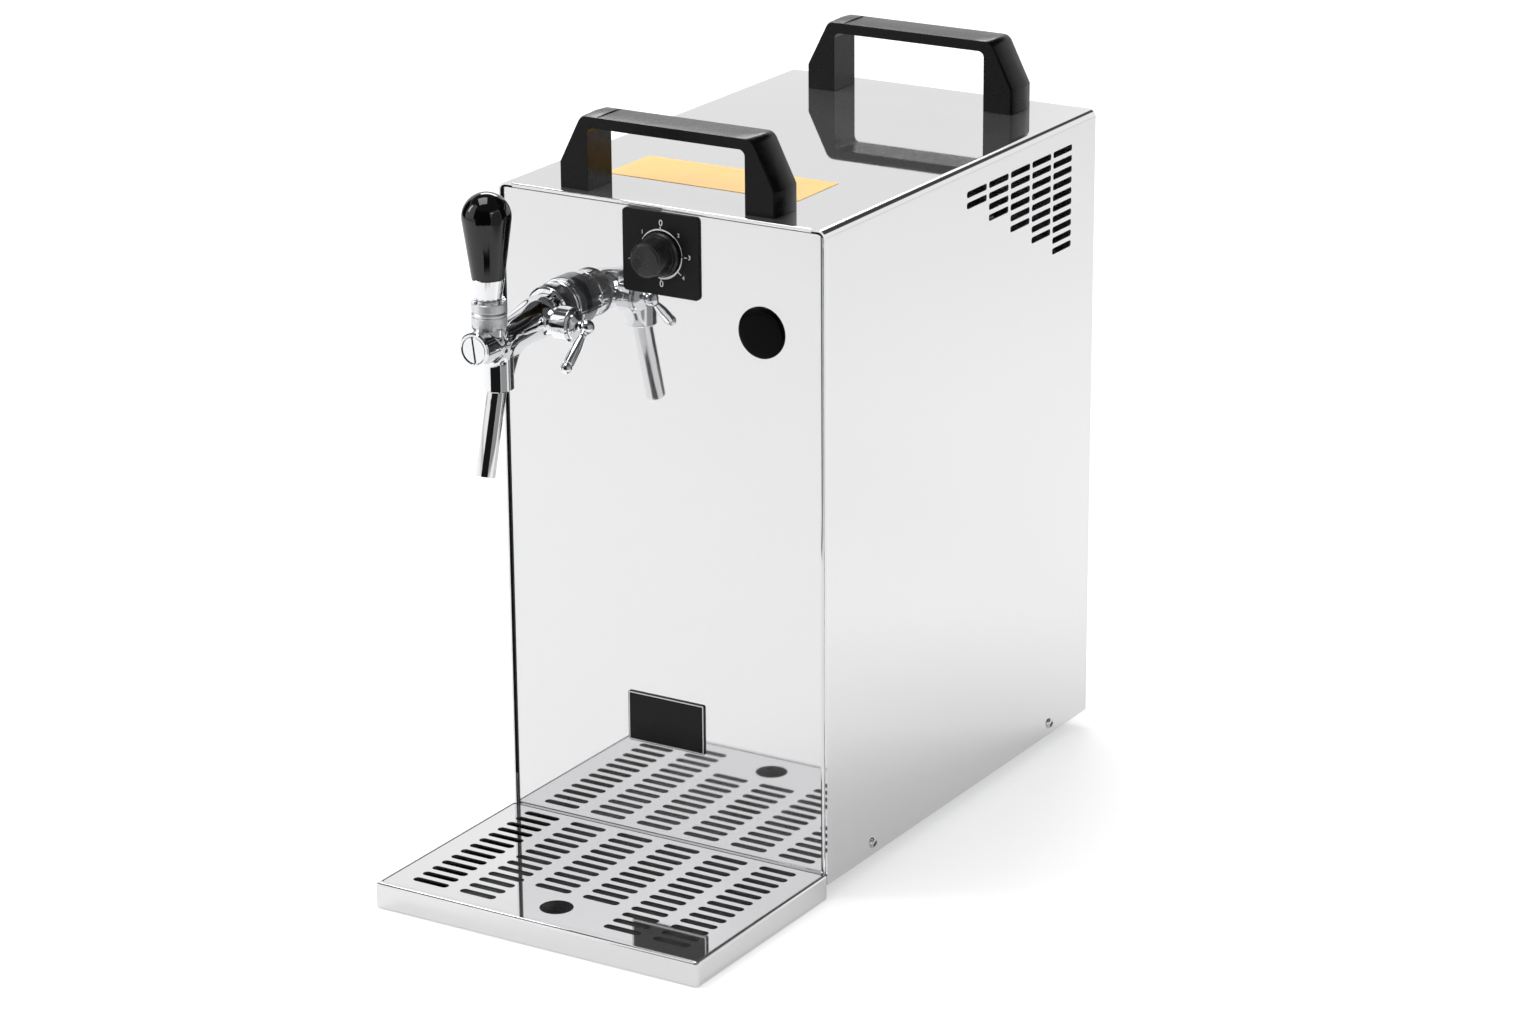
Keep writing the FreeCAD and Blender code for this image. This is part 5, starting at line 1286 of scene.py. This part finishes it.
def card_material(name, level, side_fade, end_fade, nearest, farthest):
    """A card of one grey level that fades out over a share of its width and height.

    A first reflection shows it only from nearest to farthest metres away, so that the tap mirrors
    it and the sheet metal further off doesn't. A second reflection shows it from anywhere.
    """
    material = bpy.data.materials.new(name)
    material.use_nodes = True
    tree = material.node_tree
    tree.nodes.clear()
    place = add(tree, "ShaderNodeTexCoord").outputs["Object"]
    parts = add(tree, "ShaderNodeSeparateXYZ", {0: place}).outputs
    fades = []
    for part, fade in ((parts["X"], side_fade), (parts["Y"], end_fade)):
        away = add(tree, "ShaderNodeMath", {0: part}, operation="ABSOLUTE")
        fades.append(add(tree, "ShaderNodeMapRange", {
            "Value": away.outputs[0], "From Min": 0.5, "From Max": 0.5 - fade},
            interpolation_type="SMOOTHSTEP").outputs[0])
    light = add(tree, "ShaderNodeLightPath").outputs
    near_enough = add(tree, "ShaderNodeMapRange", {
        "Value": light["Ray Length"], "From Min": farthest + FADE_LENGTH, "From Max": farthest})
    far_enough = add(tree, "ShaderNodeMapRange", {
        "Value": light["Ray Length"], "From Min": nearest - FADE_LENGTH, "From Max": nearest})
    in_reach = add(tree, "ShaderNodeMath", {0: near_enough.outputs[0], 1: far_enough.outputs[0]},
                   operation="MULTIPLY")
    second = add(tree, "ShaderNodeMath", {0: light["Ray Depth"], 1: AFTER_THE_FIRST},
                 operation="GREATER_THAN")
    allowed = add(tree, "ShaderNodeMath", {0: in_reach.outputs[0], 1: second.outputs[0]},
                  operation="MAXIMUM")
    faded = add(tree, "ShaderNodeMath", {0: fades[0], 1: fades[1]}, operation="MULTIPLY")
    shown = add(tree, "ShaderNodeMath", {0: faded.outputs[0], 1: allowed.outputs[0]},
                operation="MULTIPLY")
    glow = add(tree, "ShaderNodeEmission", {"Color": (1, 1, 1, 1), "Strength": level})
    clear = add(tree, "ShaderNodeBsdfTransparent")
    mixed = add(tree, "ShaderNodeMixShader", {0: shown.outputs[0], 1: clear.outputs[0],
                                              2: glow.outputs[0]})
    add(tree, "ShaderNodeOutputMaterial", {"Surface": mixed.outputs[0]})
    return material


print("card material ready")

# %% [markdown]
# The cards stand on circles round the tap, which is easier to think in than places: an angle, a
# distance and a height. Two fans of three cards, a low one and a high one, stand on the camera's
# side and make the long dark bands in the tap. The others are wide: black ones to the right, to the
# left and behind give it dark edges, a grey and a white one break those up, and a pale grey one
# behind shades the lid. One more lies on the floor in front.

# %% Cards round the tap
MIDDLE_REACH, JUST_OVER_FLOOR = 50.0, 0.5
BLACK, ANY_REACH = 0.01, (0, 99)


def card(name, middle, across, upward, width, height, level, fades, reach):
    """A flat card that only reflections show."""
    square = mesh_of(name, [(-0.5, -0.5, 0), (0.5, -0.5, 0), (0.5, 0.5, 0), (-0.5, 0.5, 0)],
                     [(0, 1, 2, 3)])
    obj = loose(name, square)
    obj.data.materials.append(card_material(name + "_card", level, *fades, *reach))
    axes = Matrix((across, upward, across.cross(upward))).transposed().to_4x4()
    obj.matrix_world = Matrix.Translation(middle) @ axes @ Matrix.Diagonal(
        (width / 1000, height / 1000, 1, 1))
    obj.visible_camera = False
    obj.visible_diffuse = False
    obj.visible_shadow = False


def upright_card(name, azimuth, spread, distance, low, high, level=BLACK, fades=(0.12, 0.12),
                 reach=ANY_REACH):
    """A card that stands round the tap: angles in degrees from +X, lengths in millimetres."""
    turn = math.radians(azimuth)
    middle = tap(MIDDLE_REACH - distance * math.sin(turn), (low + high) / 2,
                 TAP_X + distance * math.cos(turn))
    across = Vector((-math.sin(turn), math.cos(turn), 0))
    width = 2 * distance * math.tan(math.radians(spread))
    card(name, middle, across, Z_AXIS, width, high - low, level, fades, reach)


def floor_card(name, azimuth, distance, length, width, reach):
    """A black card flat on the floor: its middle is at distance from the tap along azimuth."""
    turn = math.radians(azimuth)
    ahead = Vector((math.cos(turn), math.sin(turn), 0))
    across = Vector((-math.sin(turn), math.cos(turn), 0))
    middle = tap(MIDDLE_REACH, JUST_OVER_FLOOR) + ahead * distance / 1000
    card(name, middle, ahead, across, length, width, BLACK, (0.05, 0.05), reach)


upright_card("behind_right", 66, 26, 1500, 800, 2300)
for side in (-1, 0, 1):
    upright_card(f"beside_camera_{side + 2}", -72 + 23.3 * side, 11.8, 460, 8, 400,
                 fades=(0.002, 0.06), reach=(0, 0.48))
    upright_card(f"above_camera_{side + 2}", -77 + 25.3 * side, 12.8, 470, 300, 740,
                 fades=(0.002, 0.06), reach=(0, 0.56))
upright_card("grey_right", -11, 30, 520, -5, 620, level=0.3, fades=(0.2, 0.1))
upright_card("black_right", 31, 18, 700, 150, 900)
upright_card("black_left", 178, 20, 900, 150, 900)
upright_card("white_left", -133, 15, 900, 400, 1500, level=1.1, fades=(0.1, 0.1))
upright_card("grey_behind", 116, 20, 900, 380, 800, level=0.87, fades=(0.3, 0.3))
floor_card("floor_front", -62, 435, 100, 300, reach=(0.51, 99))
print("stage ready")

# %% [markdown]
# ## Close
# The colours are shown as they are written, with no film look over them.

# %% Finish with a plain view
bpy.context.scene.view_settings.view_transform = "Standard"
